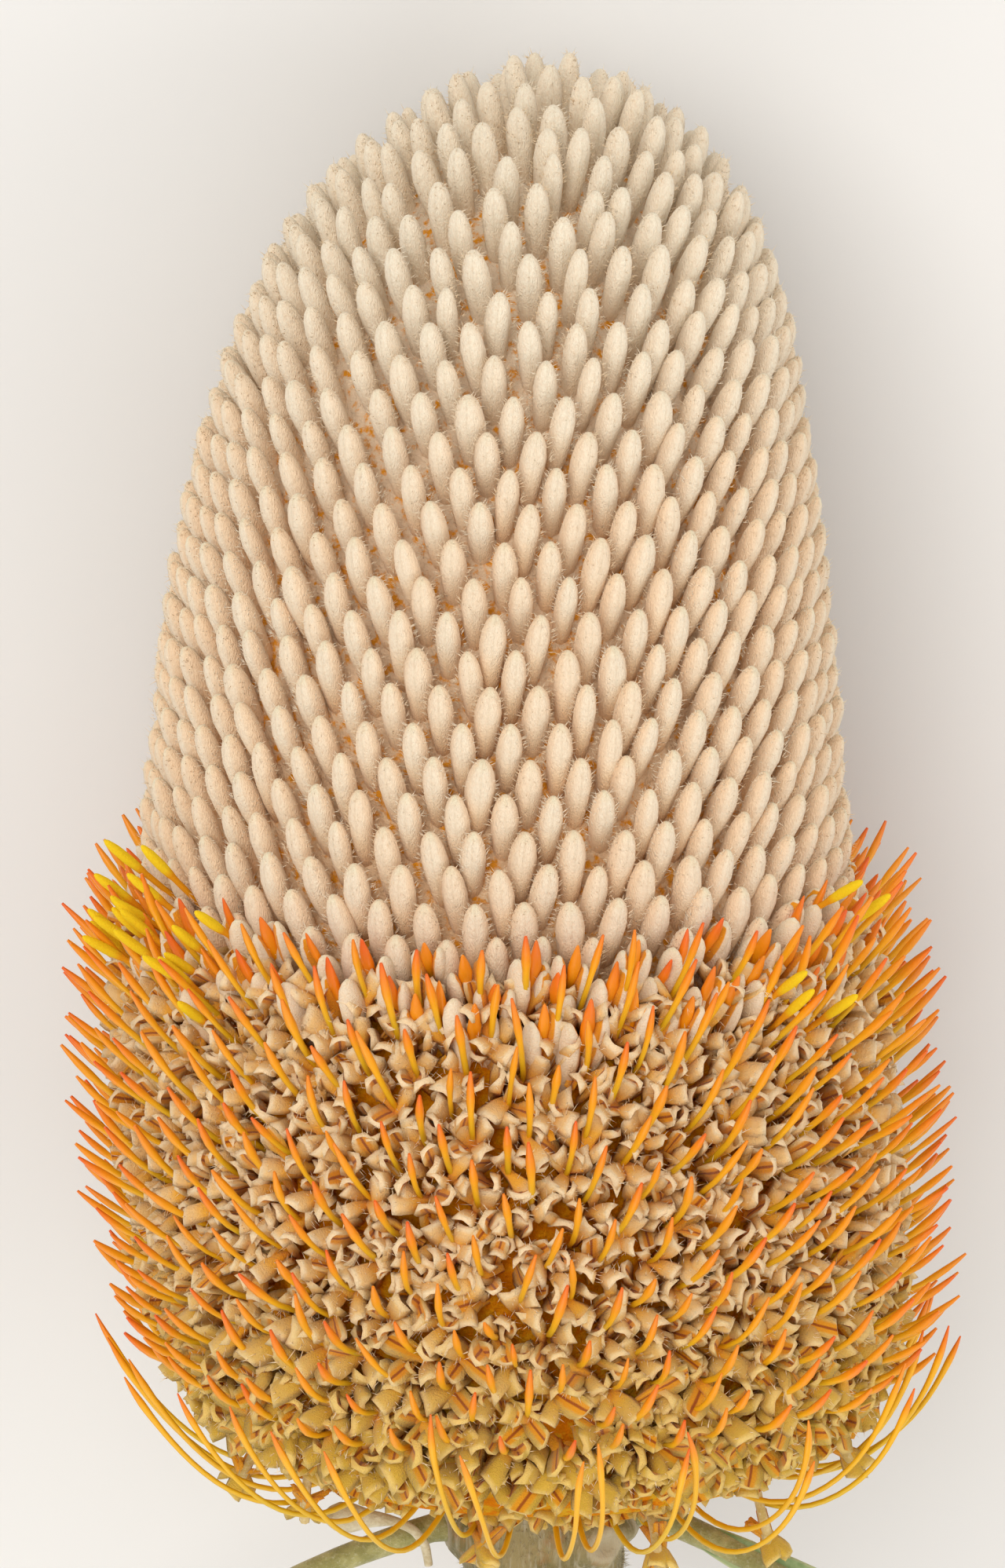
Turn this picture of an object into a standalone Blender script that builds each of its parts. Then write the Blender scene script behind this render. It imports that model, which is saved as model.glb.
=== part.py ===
"""A cut acorn banksia flower head, lying on its side on a table.

Metres, +Z up. The flower is modelled in its own frame, with +Y from the stem to the tip of the
head and +Z towards its upper side. It is then tipped head down, as it lies when its own weight
rolls it on to the widest ring of open florets and the shoulder of the closed buds.
"""

import math
import random

import bmesh
import bpy
from mathutils import Matrix, Vector

# Driving sizes of the flower head, in its own frame
BUD_TIP_PROFILE = (
    # height above the head's base, radius at the tips of the closed buds
    (0.0560, 0.0328),
    (0.0715, 0.0317),
    (0.0890, 0.0296),
    (0.1030, 0.0270),
    (0.1150, 0.0232),
    (0.1250, 0.0168),
    (0.1310, 0.0100),
    (0.1338, 0.0000),
)
OPEN_BAND_PROFILE = (
    # height above the head's base, radius at the faces of the open florets
    (0.0010, 0.0250),
    (0.0070, 0.0318),
    (0.0160, 0.0348),
    (0.0290, 0.0358),
    (0.0430, 0.0355),
    (0.0560, 0.0330),
)
BAND_TOP = 0.0575
HEAD_BOW = 0.0043
HEAD_MIDDLE = 0.069
HEAD_HALF_LENGTH = 0.064
CORE_STEPS = 20
SEAM_GAP = 0.0003

# How the flower lies on the table
REST_TILT = math.radians(9.3)
AXIS_HEIGHT = 0.0427
FLOWER_PLACE = (-0.0007, -0.0281)

# Closed buds, drawn larger than life
BUD_PITCH = 0.0084
BUD_ROW = 0.0060
BUD_TWIST = math.radians(0.6)
BUD_LEAN = math.radians(20)
BUD_CORE_DEPTH = 0.0042
BUD_CORE_DROP = 0.0068
BUD_CORE_RINGS = 10
BUD_SIDES = 4
BUD_TIP_DEPTH = 0.0006
BUD_BELLY = (0.0034, 0.0000, 0.0030)  # distance below the tip, depth, half width
BUD_ROOT = (0.0105, 0.0060, 0.0016)
BUD_LOWEST = 0.0105
BUD_CORE_SHARE = 0.62

# Open florets, drawn larger than life
FLORET_COLUMNS = 14
FLORET_ROWS = 7
FLORET_LOW = 0.0035
FLORET_HIGH = 0.0525
FLORET_LENGTH = 0.0074
FLORET_SPREAD = 0.0058
FLORET_ROOT = 0.0018
FLORET_CLEFT_SHARE = 0.62
FLORET_CLEFT_DEPTH = 0.0012
FLORET_HOLLOW_DEPTH = 0.0022
FLORET_TURN_CURVE = 0.6
BAND_CORE_DEPTH = 0.0048
BAND_CORE_HEIGHTS = (0.045, 0.030, 0.016, 0.007, 0.002)
BAND_FOOT_RADIUS = 0.0150
FLORET_UP_TURN = math.radians(38)
FLORET_DOWN_TURN = math.radians(-48)

# Styles
STYLE_THICKNESS = 0.0011
STYLE_ROOT_DEPTH = 0.0072
STYLE_OUT = 0.0016
STYLE_REACH = 0.0066
STYLE_LEAN = math.radians(47)

# Spent florets that hang from the underside
SPENT_ANGLES = (-64, -38, -12, 14, 33, 62, 118, 176, 232)
SPENT_LENGTH = 0.0105
SPENT_HALF_WIDTH = 0.0013
SPENT_ROOT = (0.004, 0.0175)
SPENT_SPREAD = (0.35, 0.9)

# Stem
STEM_LENGTH = 0.062
STEM_TOP_RADIUS = 0.0082
STEM_LOW_RADIUS = 0.0060
STEM_PEG_RADIUS = 0.0066
STEM_PEG_LENGTH = 0.0045
STEM_SIDES = 14
STEM_RINGS = 9
STEM_SWAY = (0.0016, -0.0012)
STEM_CUT_TILT = math.radians(22)
SCAR_COUNT = 9
SCAR_STEP = math.radians(137.5)
SCAR_FIRST_ANGLE = 0.7
SCAR_FIRST_HEIGHT = -0.006
SCAR_MARGIN = 0.012
SCAR_FOOT_RADIUS = 0.0029
SCAR_TOP_RADIUS = 0.0019
SCAR_LENGTH = 0.0042
SCAR_SINK = 0.0012
LEAF_SCAR_SIZE = 1.15

# Leaves
LEAF_TEETH = 13
LEAF_HALF_WIDTH = 0.0078
LEAF_NOTCH_HALF_WIDTH = 0.0032
LEAF_THICKNESS = 0.0008
PETIOLE_RADIUS = 0.0011
PETIOLE_SOCKET_DEPTH = 0.0025
PETIOLE_SHOULDER = 0.0012
PETIOLE_FOOT_SHARE = 1.35
SOCKET_MOUTH = 0.004
LEAF_FOOT_POINTS = 8
LEAF_TOOTH_REACH = 0.0022
LEAF_ARCH = 0.28
LEAF_EDGE_WAVE = 0.4
RIB_SHARES = (1.3, 0.75)

LEAVES = (
    {
        "name": "leaf_left", "angle": math.radians(-82), "height": -0.0060, "length": 0.108,
        "set_back": 0.22, "back_turn": 13.0, "droop": 5.0, "face": (0, 0.3, 1), "wave": 0.0012,
    },
    {
        "name": "leaf_right", "angle": math.radians(74), "height": -0.0040, "length": 0.112,
        "set_back": 0.30, "back_turn": 11.0, "droop": 6.0, "face": (0, 0.25, 1), "wave": 0.0012,
    },
)

# A fallen bud that hangs over the left petiole
DROPPED_BUD_LINE = (
    (-0.0205, -0.0019, 0.0049), (-0.0192, -0.0021, 0.0050), (-0.0178, -0.0024, 0.0049),
    (-0.0162, -0.0028, 0.0047), (-0.0140, -0.0034, 0.0044), (-0.0120, -0.0048, 0.0041),
    (-0.0109, -0.0067, 0.0038), (-0.0106, -0.0090, 0.0036),
)
DROPPED_BUD_RADII = (0.0007, 0.0014, 0.0015, 0.0010, 0.0006, 0.0005, 0.0005, 0.0005)

TABLE_BLOCK = 0.4

TAU = 2 * math.pi
AXIS = Vector((0, 1, 0))


def clear_scene():
    """Removes every object that the file starts with."""
    for obj in list(bpy.data.objects):
        bpy.data.objects.remove(obj)


def new_collection(name):
    """A new collection in the scene."""
    collection = bpy.data.collections.new(name)
    bpy.context.scene.collection.children.link(collection)
    return collection


def material(name, colour, roughness):
    """A plain matt material."""
    made = bpy.data.materials.new(name)
    made.use_nodes = True
    shader = made.node_tree.nodes["Principled BSDF"]
    shader.inputs["Base Color"].default_value = (*colour, 1)
    shader.inputs["Roughness"].default_value = roughness
    shader.inputs["Metallic"].default_value = 0
    return made


def add_object(name, data, collection):
    """A new object in a collection."""
    obj = bpy.data.objects.new(name, data)
    collection.objects.link(obj)
    return obj


def smooth_value(profile, at):
    """The profile's radius at a height, on a smooth curve through its points."""
    last = len(profile) - 1
    at = min(max(at, profile[0][0]), profile[last][0])
    i = next(k for k in range(last) if at <= profile[k + 1][0])
    before, start = profile[max(i - 1, 0)], profile[i]
    end, after = profile[i + 1], profile[min(i + 2, last)]
    span = end[0] - start[0]
    slope_a = (end[1] - before[1]) / (end[0] - before[0]) * span
    slope_b = (after[1] - start[1]) / (after[0] - start[0]) * span
    u = (at - start[0]) / span
    return (
        (2 * u**3 - 3 * u**2 + 1) * start[1]
        + (u**3 - 2 * u**2 + u) * slope_a
        + (3 * u**2 - 2 * u**3) * end[1]
        + (u**3 - u**2) * slope_b
    )


def bow(y):
    """Sideways place of the head's centre line at a height."""
    share = (y - HEAD_MIDDLE) / HEAD_HALF_LENGTH
    return -HEAD_BOW * max(0.0, 1 - share * share)


def outward(angle):
    """Direction away from the axis, where angle 0 is the flower's upper side."""
    return Vector((math.sin(angle), 0, math.cos(angle)))


def on_head(angle, y, radius):
    """Point at an angle, height and radius from the bowed centre line."""
    return Vector((bow(y), y, 0)) + outward(angle) * radius


def pose(origin, forward, up):
    """Matrix with local Z along forward and local Y as near up as it can be."""
    z = forward.normalized()
    x = up.cross(z).normalized()
    y = z.cross(x)
    turned = Matrix((x, y, z)).transposed().to_4x4()
    turned.translation = origin
    return turned


def as_mesh(obj, collection, seam=1e-6):
    """A plain mesh object in place of a curve or of an object with modifiers.

    Points closer than the seam are joined into one.
    """
    graph = bpy.context.evaluated_depsgraph_get()
    mesh = bpy.data.meshes.new_from_object(obj.evaluated_get(graph))
    build = bmesh.new()
    build.from_mesh(mesh)
    bmesh.ops.remove_doubles(build, verts=build.verts, dist=seam)
    bmesh.ops.recalc_face_normals(build, faces=build.faces)
    build.to_mesh(mesh)
    build.free()
    made = add_object(obj.name + "_mesh", mesh, collection)
    made.matrix_world = obj.matrix_world
    name = obj.name
    bpy.data.objects.remove(obj)
    made.name = name
    return made


def follow_bow(obj):
    """Bends an upright solid along the head's centre line."""
    for vertex in obj.data.vertices:
        vertex.co.x += bow(vertex.co.y)


def turned_solid(name, outline, steps, collection):
    """A solid of revolution about +Y from points (height, radius), running top to bottom."""
    mesh = bpy.data.meshes.new(name)
    points = [(radius, y, 0) for y, radius in outline]
    mesh.from_pydata(points, [(i, i + 1) for i in range(len(points) - 1)], [])
    obj = add_object(name, mesh, collection)
    screw = obj.modifiers.new("Turn", "SCREW")
    screw.axis = "Y"
    screw.steps = steps
    screw.render_steps = steps
    screw.use_merge_vertices = True
    screw.merge_threshold = 1e-5
    bpy.context.view_layer.update()
    return as_mesh(obj, collection)


def tube(name, points, radii, collection, sides_level=0):
    """A round tube through points, with a radius at each of them."""
    curve = bpy.data.curves.new(name, "CURVE")
    curve.dimensions = "3D"
    curve.bevel_depth = 1.0
    curve.bevel_resolution = sides_level
    curve.use_fill_caps = True
    spline = curve.splines.new("POLY")
    spline.points.add(len(points) - 1)
    for target, point, radius in zip(spline.points, points, radii):
        target.co = (*point, 1)
        target.radius = radius
    obj = add_object(name, curve, collection)
    bpy.context.view_layer.update()
    return as_mesh(obj, collection)


def union(body, repeats):
    """Joins every object of a collection to the body, then removes them."""
    bpy.context.view_layer.update()
    join = body.modifiers.new("Join", "BOOLEAN")
    join.operation = "UNION"
    join.solver = "MANIFOLD"
    join.operand_type = "COLLECTION"
    join.collection = repeats
    home = body.users_collection[0]
    made = as_mesh(body, home, seam=0)
    for obj in list(repeats.objects):
        bpy.data.objects.remove(obj)
    bpy.data.collections.remove(repeats)
    return made


def lattice(profile, low, row, pitch, twist):
    """Rings of places (angle, height, radius) on a turned surface.

    Each ring stands half a step round from the last.
    """
    top = profile[-1][0]
    places = []
    y, k = low, 0
    while y < top:
        radius = smooth_value(profile, y)
        count = max(1, round(TAU * radius / pitch))
        for i in range(count):
            angle = (i + 0.5 * (k % 2)) * TAU / count + k * twist
            places.append((angle, y, radius))
        ahead = smooth_value(profile, min(y + row / 4, top))
        slope = (radius - ahead) / (row / 4)
        y += row / math.sqrt(1 + slope * slope)
        k += 1
    return places


def ring_solid_mesh(name, rings, sides, tip):
    """A closed bud-like mesh lofted through rings of (centre, radius), ending in a tip point."""
    build = bmesh.new()
    bmesh.ops.create_cone(
        build, cap_ends=True, segments=sides, radius1=1, radius2=1, depth=1
    )
    low = [v for v in build.verts if v.co.z < 0]
    high = [v for v in build.verts if v.co.z > 0]
    first, second = rings
    for verts, (centre, radius) in ((low, first), (high, second)):
        for vertex in verts:
            vertex.co = centre + Vector((vertex.co.x, vertex.co.y, 0)) * radius
    top = next(f for f in build.faces if all(v in high for v in f.verts))
    poked = bmesh.ops.poke(build, faces=[top])
    poked["verts"][0].co = tip
    mesh = bpy.data.meshes.new(name)
    build.to_mesh(mesh)
    build.free()
    return mesh


def closed_bud_mesh():
    """One woolly bud: local Z runs up the bud, local Y outwards, with its tip at the origin."""
    rings = [
        (Vector((0, -depth, -below)), half) for below, depth, half in (BUD_ROOT, BUD_BELLY)
    ]
    return ring_solid_mesh("closed_bud", rings, BUD_SIDES, Vector((0, -BUD_TIP_DEPTH, 0)))


def closed_buds(parts):
    """The upper part of the head: a smaller core and the unopened buds that stand out of it."""
    core_foot = BAND_TOP + SEAM_GAP
    core_top = BUD_TIP_PROFILE[-1][0] - BUD_CORE_DROP
    outline = [(core_foot, 0.0)]
    for i in range(BUD_CORE_RINGS):
        y = core_foot + i / (BUD_CORE_RINGS - 1) * (core_top - core_foot)
        tip_radius = smooth_value(BUD_TIP_PROFILE, y + BUD_CORE_DROP)
        radius = max(tip_radius - BUD_CORE_DEPTH, BUD_CORE_SHARE * tip_radius)
        outline.append((y, radius))
    core = turned_solid("closed_buds", outline[::-1], CORE_STEPS, parts)
    follow_bow(core)
    repeats = new_collection("bud_repeats")
    mesh = closed_bud_mesh()
    low = BAND_TOP + BUD_LOWEST
    for angle, y, radius in lattice(BUD_TIP_PROFILE, low, BUD_ROW, BUD_PITCH, BUD_TWIST):
        along = AXIS * math.cos(BUD_LEAN) + outward(angle) * math.sin(BUD_LEAN)
        bud = add_object("bud", mesh, repeats)
        bud.matrix_world = pose(on_head(angle, y, radius), along, outward(angle))
    return union(core, repeats)


def band_core_outline():
    """Core of the open part, with a plain socket for the stem in its underside."""
    core_radius = [(y, radius - BAND_CORE_DEPTH) for y, radius in OPEN_BAND_PROFILE]
    top_radius = smooth_value(core_radius, BAND_TOP)
    outline = [(BAND_TOP, 0.0), (BAND_TOP, top_radius)]
    outline += [(y, smooth_value(core_radius, y)) for y in BAND_CORE_HEIGHTS]
    socket = STEM_PEG_RADIUS + SEAM_GAP
    outline += [(0.0, BAND_FOOT_RADIUS), (0.0, socket), (STEM_PEG_LENGTH + SEAM_GAP, socket)]
    outline += [(STEM_PEG_LENGTH + SEAM_GAP, 0.0)]
    return outline


def turn_at(y):
    """How far an open floret points up or down at a height."""
    share = min(max((y - FLORET_LOW) / (FLORET_HIGH - FLORET_LOW), 0), 1)
    return FLORET_DOWN_TURN + (FLORET_UP_TURN - FLORET_DOWN_TURN) * share**FLORET_TURN_CURVE


def open_floret_mesh():
    """One open floret: four lobes flare from a narrow root round a sunken middle."""
    build = bmesh.new()
    bmesh.ops.create_cone(
        build, cap_ends=True, segments=8, radius1=FLORET_ROOT, radius2=FLORET_SPREAD,
        depth=FLORET_LENGTH,
    )
    rim = [v for v in build.verts if v.co.z > 0]
    for vertex in rim:
        quarter = math.atan2(vertex.co.y, vertex.co.x) / (TAU / 8)
        between = round(quarter) % 2
        if between:
            vertex.co *= FLORET_CLEFT_SHARE
            vertex.co.z = FLORET_LENGTH / 2 - FLORET_CLEFT_DEPTH
    top = next(f for f in build.faces if all(v in rim for v in f.verts))
    poked = bmesh.ops.poke(build, faces=[top])
    poked["verts"][0].co.z = FLORET_LENGTH / 2 - FLORET_HOLLOW_DEPTH
    root = [v for v in build.verts if v.co.z < 0]
    bmesh.ops.translate(build, verts=build.verts, vec=(0, 0, -FLORET_LENGTH / 2))
    pairs = [v for v in root if round(math.atan2(v.co.y, v.co.x) / (TAU / 8)) % 2]
    for vertex in pairs:
        angle = math.atan2(vertex.co.y, vertex.co.x) - TAU / 8
        vertex.co.x = FLORET_ROOT * math.cos(angle)
        vertex.co.y = FLORET_ROOT * math.sin(angle)
    bmesh.ops.remove_doubles(build, verts=root, dist=1e-6)
    mesh = bpy.data.meshes.new("open_floret")
    build.to_mesh(mesh)
    build.free()
    return mesh


def band_places(rows, columns, low, high, shift):
    """Rings of places (angle, height) over the open band."""
    for k in range(rows):
        y = low + (high - low) * k / (rows - 1)
        for i in range(columns):
            yield (i + 0.5 * (k % 2) + shift) * TAU / columns, y


def open_florets(parts):
    """The lower part of the head: open florets, their long styles and the spent florets below."""
    core = turned_solid("open_florets", band_core_outline(), CORE_STEPS, parts)
    follow_bow(core)
    repeats = new_collection("floret_repeats")
    floret = open_floret_mesh()
    for angle, y in band_places(FLORET_ROWS, FLORET_COLUMNS, FLORET_LOW, FLORET_HIGH, 0):
        turn = turn_at(y)
        face = on_head(angle, y, smooth_value(OPEN_BAND_PROFILE, y))
        forward = outward(angle) * math.cos(turn) + AXIS * math.sin(turn)
        obj = add_object("floret", floret, repeats)
        obj.matrix_world = pose(face, forward, AXIS)
    add_styles(repeats)
    add_spent_florets(repeats)
    return union(core, repeats)


def add_styles(repeats):
    """Stiff styles that leave the florets outwards and turn up towards the tip of the head."""
    for row in range(FLORET_ROWS):
        y = FLORET_LOW + (FLORET_HIGH - FLORET_LOW) * row / (FLORET_ROWS - 1)
        turn = turn_at(y)
        ahead = Vector((0, math.sin(turn), math.cos(turn)))
        up = Vector((0, math.sin(STYLE_LEAN), math.cos(STYLE_LEAN)))
        bend = ahead * STYLE_OUT
        mesh = ring_solid_mesh(
            "style",
            [
                (ahead * -STYLE_ROOT_DEPTH, STYLE_THICKNESS * 0.62),
                (bend, STYLE_THICKNESS * 0.6),
            ],
            3,
            bend + up * STYLE_REACH,
        )
        radius = smooth_value(OPEN_BAND_PROFILE, y)
        for i in range(2 * FLORET_COLUMNS):
            angle = (i + row % 2) * TAU / FLORET_COLUMNS / 2
            obj = add_object("style", mesh, repeats)
            obj.matrix_world = pose(on_head(angle, y, radius), outward(angle), AXIS)


def add_spent_florets(repeats):
    """Limp spent florets round the stem, pointing down and out."""
    draw = random.Random(11)
    for degrees in SPENT_ANGLES:
        angle = math.radians(degrees)
        spread = draw.uniform(*SPENT_SPREAD)
        root = on_head(angle, *SPENT_ROOT)
        forward = outward(angle) * spread - AXIS
        mesh = ring_solid_mesh(
            "spent",
            [
                (Vector((0, 0, 0)), SPENT_HALF_WIDTH),
                (Vector((0, 0, SPENT_LENGTH * 0.7)), SPENT_HALF_WIDTH * 1.25),
            ],
            4,
            Vector((0, 0, SPENT_LENGTH)),
        )
        obj = add_object("spent", mesh, repeats)
        obj.matrix_world = pose(root, forward, outward(angle))


def stem_middle(y):
    """Centre of the stem at a height below the head."""
    along = -y / STEM_LENGTH
    return Vector((STEM_SWAY[0] * along, y, STEM_SWAY[1] * along))


def stem_radius(y):
    """Radius of the stem at a height, widest under the head."""
    along = min(max(-y / STEM_LENGTH, 0), 1)
    return STEM_LOW_RADIUS + (STEM_TOP_RADIUS - STEM_LOW_RADIUS) * (1 - along) ** 2


def flower_stem(parts, cutters):
    """The woody stem, with a peg in the head, leaf scars and a slanting cut."""
    top = STEM_PEG_LENGTH
    outline = [(top, 0.0), (top, STEM_PEG_RADIUS), (-SEAM_GAP, STEM_PEG_RADIUS)]
    heights = [-SEAM_GAP - i * STEM_LENGTH / STEM_RINGS for i in range(STEM_RINGS + 2)]
    outline += [(y, stem_radius(y)) for y in heights]
    outline += [(heights[-1], 0.0)]
    stem = turned_solid("stem", outline, STEM_SIDES, parts)
    for vertex in stem.data.vertices:
        middle = stem_middle(min(vertex.co.y, 0))
        vertex.co.x += middle.x
        vertex.co.z += middle.z
    scars = new_collection("scars")
    for i in range(SCAR_COUNT):
        y = SCAR_FIRST_HEIGHT - i * (STEM_LENGTH - SCAR_MARGIN) / SCAR_COUNT
        add_scar(i * SCAR_STEP + SCAR_FIRST_ANGLE, y, scars)
    for leaf in LEAVES:
        add_scar(leaf["angle"], leaf["height"], scars, LEAF_SCAR_SIZE)
    stem = union(stem, scars)
    cut_stem_end(stem)
    for leaf in LEAVES:
        cut_petiole_socket(stem, leaf, cutters)
    return as_mesh(stem, parts)


def add_scar(angle, y, scars, size=1.0):
    """A low round knob where a leaf grew from the stem."""
    build = bmesh.new()
    bmesh.ops.create_cone(
        build, cap_ends=True, segments=7, radius1=SCAR_FOOT_RADIUS * size,
        radius2=SCAR_TOP_RADIUS * size, depth=SCAR_LENGTH,
    )
    mesh = bpy.data.meshes.new("scar")
    build.to_mesh(mesh)
    build.free()
    scar = add_object("scar", mesh, scars)
    place = stem_middle(y) + outward(angle) * (stem_radius(y) - SCAR_SINK)
    scar.matrix_world = pose(place, outward(angle), AXIS)


def cut_stem_end(stem):
    """Cuts the stem's lower end on a slant."""
    build = bmesh.new()
    build.from_mesh(stem.data)
    slant = Matrix.Rotation(STEM_CUT_TILT, 3, "X") @ Vector((0, -1, 0))
    cut = bmesh.ops.bisect_plane(
        build,
        geom=build.verts[:] + build.edges[:] + build.faces[:],
        plane_co=stem_middle(-STEM_LENGTH),
        plane_no=slant,
        clear_outer=True,
    )
    edges = [e for e in cut["geom_cut"] if isinstance(e, bmesh.types.BMEdge)]
    bmesh.ops.edgenet_fill(build, edges=edges)
    build.to_mesh(stem.data)
    build.free()


def leaf_points(leaf, count):
    """Points on a leaf's middle line, from its foot in the stem to its tip."""
    out = outward(leaf["angle"])
    foot_radius = stem_radius(leaf["height"]) - PETIOLE_SOCKET_DEPTH + PETIOLE_SHOULDER
    foot = stem_middle(leaf["height"]) + out * foot_radius
    heading = (out - AXIS * leaf["set_back"]).normalized()
    points = [foot, foot + out * (PETIOLE_SOCKET_DEPTH + PETIOLE_SHOULDER)]
    step = leaf["length"] / (count - 2)
    for i in range(count - 2):
        share = i / (count - 3)
        turn = leaf["back_turn"] * step
        heading = heading - AXIS * turn + Vector((0, 0, -1)) * leaf["droop"] * step * share
        heading.normalize()
        points.append(points[-1] + heading * step)
    return points


def add_cutter(name, build, cutters):
    """A hidden solid that cuts other solids."""
    mesh = bpy.data.meshes.new(name)
    build.to_mesh(mesh)
    build.free()
    cutter = add_object(name, mesh, cutters)
    cutter.hide_render = True
    cutter.display_type = "WIRE"
    return cutter


def cut_petiole_socket(stem, leaf, cutters):
    """A plain hole in the stem that the foot of a leaf stands in."""
    foot, mouth = leaf_points(leaf, LEAF_FOOT_POINTS)[:2]
    outwards = (mouth - foot).normalized()
    depth = (mouth - foot).length + SOCKET_MOUTH
    radius = PETIOLE_RADIUS * PETIOLE_FOOT_SHARE + SEAM_GAP
    build = bmesh.new()
    bmesh.ops.create_cone(
        build, cap_ends=True, segments=8, radius1=radius, radius2=radius, depth=depth + SEAM_GAP
    )
    cutter = add_cutter("socket_cutter_" + leaf["name"], build, cutters)
    centre = foot + outwards * (depth - SEAM_GAP) / 2
    cutter.matrix_world = pose(centre, outwards, AXIS)
    cut = stem.modifiers.new("Socket", "BOOLEAN")
    cut.operation = "DIFFERENCE"
    cut.solver = "EXACT"
    cut.object = cutter


def leaf_half_width(share, tooth_edge):
    """Half width of the blade: a long lance shape whose edge runs in triangular teeth."""
    lance = math.sin(math.pi * min(share * 1.02, 1.0) ** 0.85) ** 0.55
    full = LEAF_HALF_WIDTH if tooth_edge else LEAF_NOTCH_HALF_WIDTH
    return max(full * lance, PETIOLE_RADIUS * 0.9)


def leaf_blade(leaf, parts):
    """A stiff toothed leaf: a thin arched blade on a petiole that runs on as its midrib."""
    stations = 2 * LEAF_TEETH + 1
    line = leaf_points(leaf, stations + LEAF_FOOT_POINTS)
    build = bmesh.new()
    rows = []
    for k in range(stations):
        at = LEAF_FOOT_POINTS - 1 + k
        here = line[at]
        along = (line[min(at + 1, len(line) - 1)] - line[at - 1]).normalized()
        side = along.cross(Vector(leaf["face"])).normalized()
        face = side.cross(along)
        share = 0.02 + 0.98 * k / (stations - 1)
        half = leaf_half_width(share, k % 2 == 1)
        ahead = along * (LEAF_TOOTH_REACH if k % 2 else 0)
        wave = face * leaf["wave"] * (1 if k % 4 < 2 else -LEAF_EDGE_WAVE) * LEAF_EDGE_WAVE
        lift = face * half * LEAF_ARCH
        row = [
            here - side * half + ahead + lift + wave,
            here,
            here + side * half + ahead + lift - wave,
        ]
        rows.append([build.verts.new(p) for p in row])
    for low, high in zip(rows, rows[1:]):
        for j in range(2):
            build.faces.new((low[j], low[j + 1], high[j + 1], high[j]))
    bmesh.ops.triangulate(build, faces=build.faces[:])
    mesh = bpy.data.meshes.new(leaf["name"])
    build.to_mesh(mesh)
    build.free()
    blade = add_object(leaf["name"], mesh, parts)
    thick = blade.modifiers.new("Thickness", "SOLIDIFY")
    thick.thickness = LEAF_THICKNESS
    thick.offset = 0
    bpy.context.view_layer.update()
    blade = as_mesh(blade, parts)
    ribs = new_collection("ribs")
    rib_line = line[::2][: len(line) // 2 - 1]
    last = len(rib_line) - 1
    radii = [
        PETIOLE_RADIUS * (RIB_SHARES[0] - RIB_SHARES[1] * i / last) for i in range(last + 1)
    ]
    tube("rib", rib_line, radii, ribs)
    return union(blade, ribs)


def dropped_bud(parts):
    """A fallen bud whose thin claw is caught over the left leaf's petiole."""
    line = [Vector(p) for p in DROPPED_BUD_LINE]
    return tube("dropped_bud", line, DROPPED_BUD_RADII, parts, sides_level=1)


def press_on_table(obj, cutters):
    """Flattens what reaches below the table."""
    build = bmesh.new()
    bmesh.ops.create_cube(build, size=TABLE_BLOCK)
    table = add_cutter("table_cutter_" + obj.name, build, cutters)
    table.location = (0, 0, -TABLE_BLOCK / 2)
    press = obj.modifiers.new("Press", "BOOLEAN")
    press.operation = "DIFFERENCE"
    press.solver = "MANIFOLD"
    press.object = table


def main():
    """Builds every part of the flower and lays it on the table."""
    clear_scene()
    parts = new_collection("banksia_flower")
    cutters = new_collection("cutters")
    cream = material("cream wool", (0.83, 0.70, 0.52), 0.9)
    orange = material("orange styles", (0.80, 0.36, 0.05), 0.6)
    bark = material("stem bark", (0.32, 0.28, 0.18), 0.9)
    green = material("leaf green", (0.16, 0.24, 0.10), 0.6)
    made = [
        (closed_buds(parts), cream),
        (open_florets(parts), orange),
        (flower_stem(parts, cutters), bark),
        (dropped_bud(parts), cream),
    ]
    made += [(leaf_blade(leaf, parts), green) for leaf in LEAVES]
    flower = add_object("flower_axis", None, parts)
    flower.rotation_euler = (-REST_TILT, 0, 0)
    flower.location = (*FLOWER_PLACE, AXIS_HEIGHT)
    for obj, finish in made:
        obj.data.materials.clear()
        obj.data.materials.append(finish)
        obj.parent = flower
        if obj.name in ("closed_buds", "open_florets"):
            press_on_table(obj, cutters)


main()
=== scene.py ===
"""Looks of a cut acorn banksia flower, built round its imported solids."""

import logging
import math
from dataclasses import dataclass, field
from enum import Enum
from typing import Iterable, Sequence

import bmesh
import bpy
import numpy as np
from mathutils import Matrix, Vector, noise


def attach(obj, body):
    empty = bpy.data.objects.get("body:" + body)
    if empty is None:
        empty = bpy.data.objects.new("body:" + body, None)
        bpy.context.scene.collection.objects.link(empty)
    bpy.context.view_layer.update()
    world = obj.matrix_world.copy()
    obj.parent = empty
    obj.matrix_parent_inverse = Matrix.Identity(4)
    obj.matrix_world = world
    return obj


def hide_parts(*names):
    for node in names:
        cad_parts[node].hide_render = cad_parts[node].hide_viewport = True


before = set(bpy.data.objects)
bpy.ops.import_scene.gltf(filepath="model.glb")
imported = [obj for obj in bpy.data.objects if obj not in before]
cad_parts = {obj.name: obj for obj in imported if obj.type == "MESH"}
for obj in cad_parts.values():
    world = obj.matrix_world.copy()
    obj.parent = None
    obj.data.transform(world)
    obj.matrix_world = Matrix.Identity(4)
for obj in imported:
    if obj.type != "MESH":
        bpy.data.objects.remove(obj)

LOG = logging.getLogger("banksia")
MM = 0.001
TAU = 2.0 * math.pi
TABLE_GAP = 0.0002
BED_SIDES = 96
LEFT_LEAF = (math.radians(-82.0), -6.0)
RIGHT_LEAF = (math.radians(74.0), -4.0)
Colour = tuple[float, float, float]
Socket = bpy.types.NodeSocket
Facts = dict[str, np.ndarray]
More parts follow.
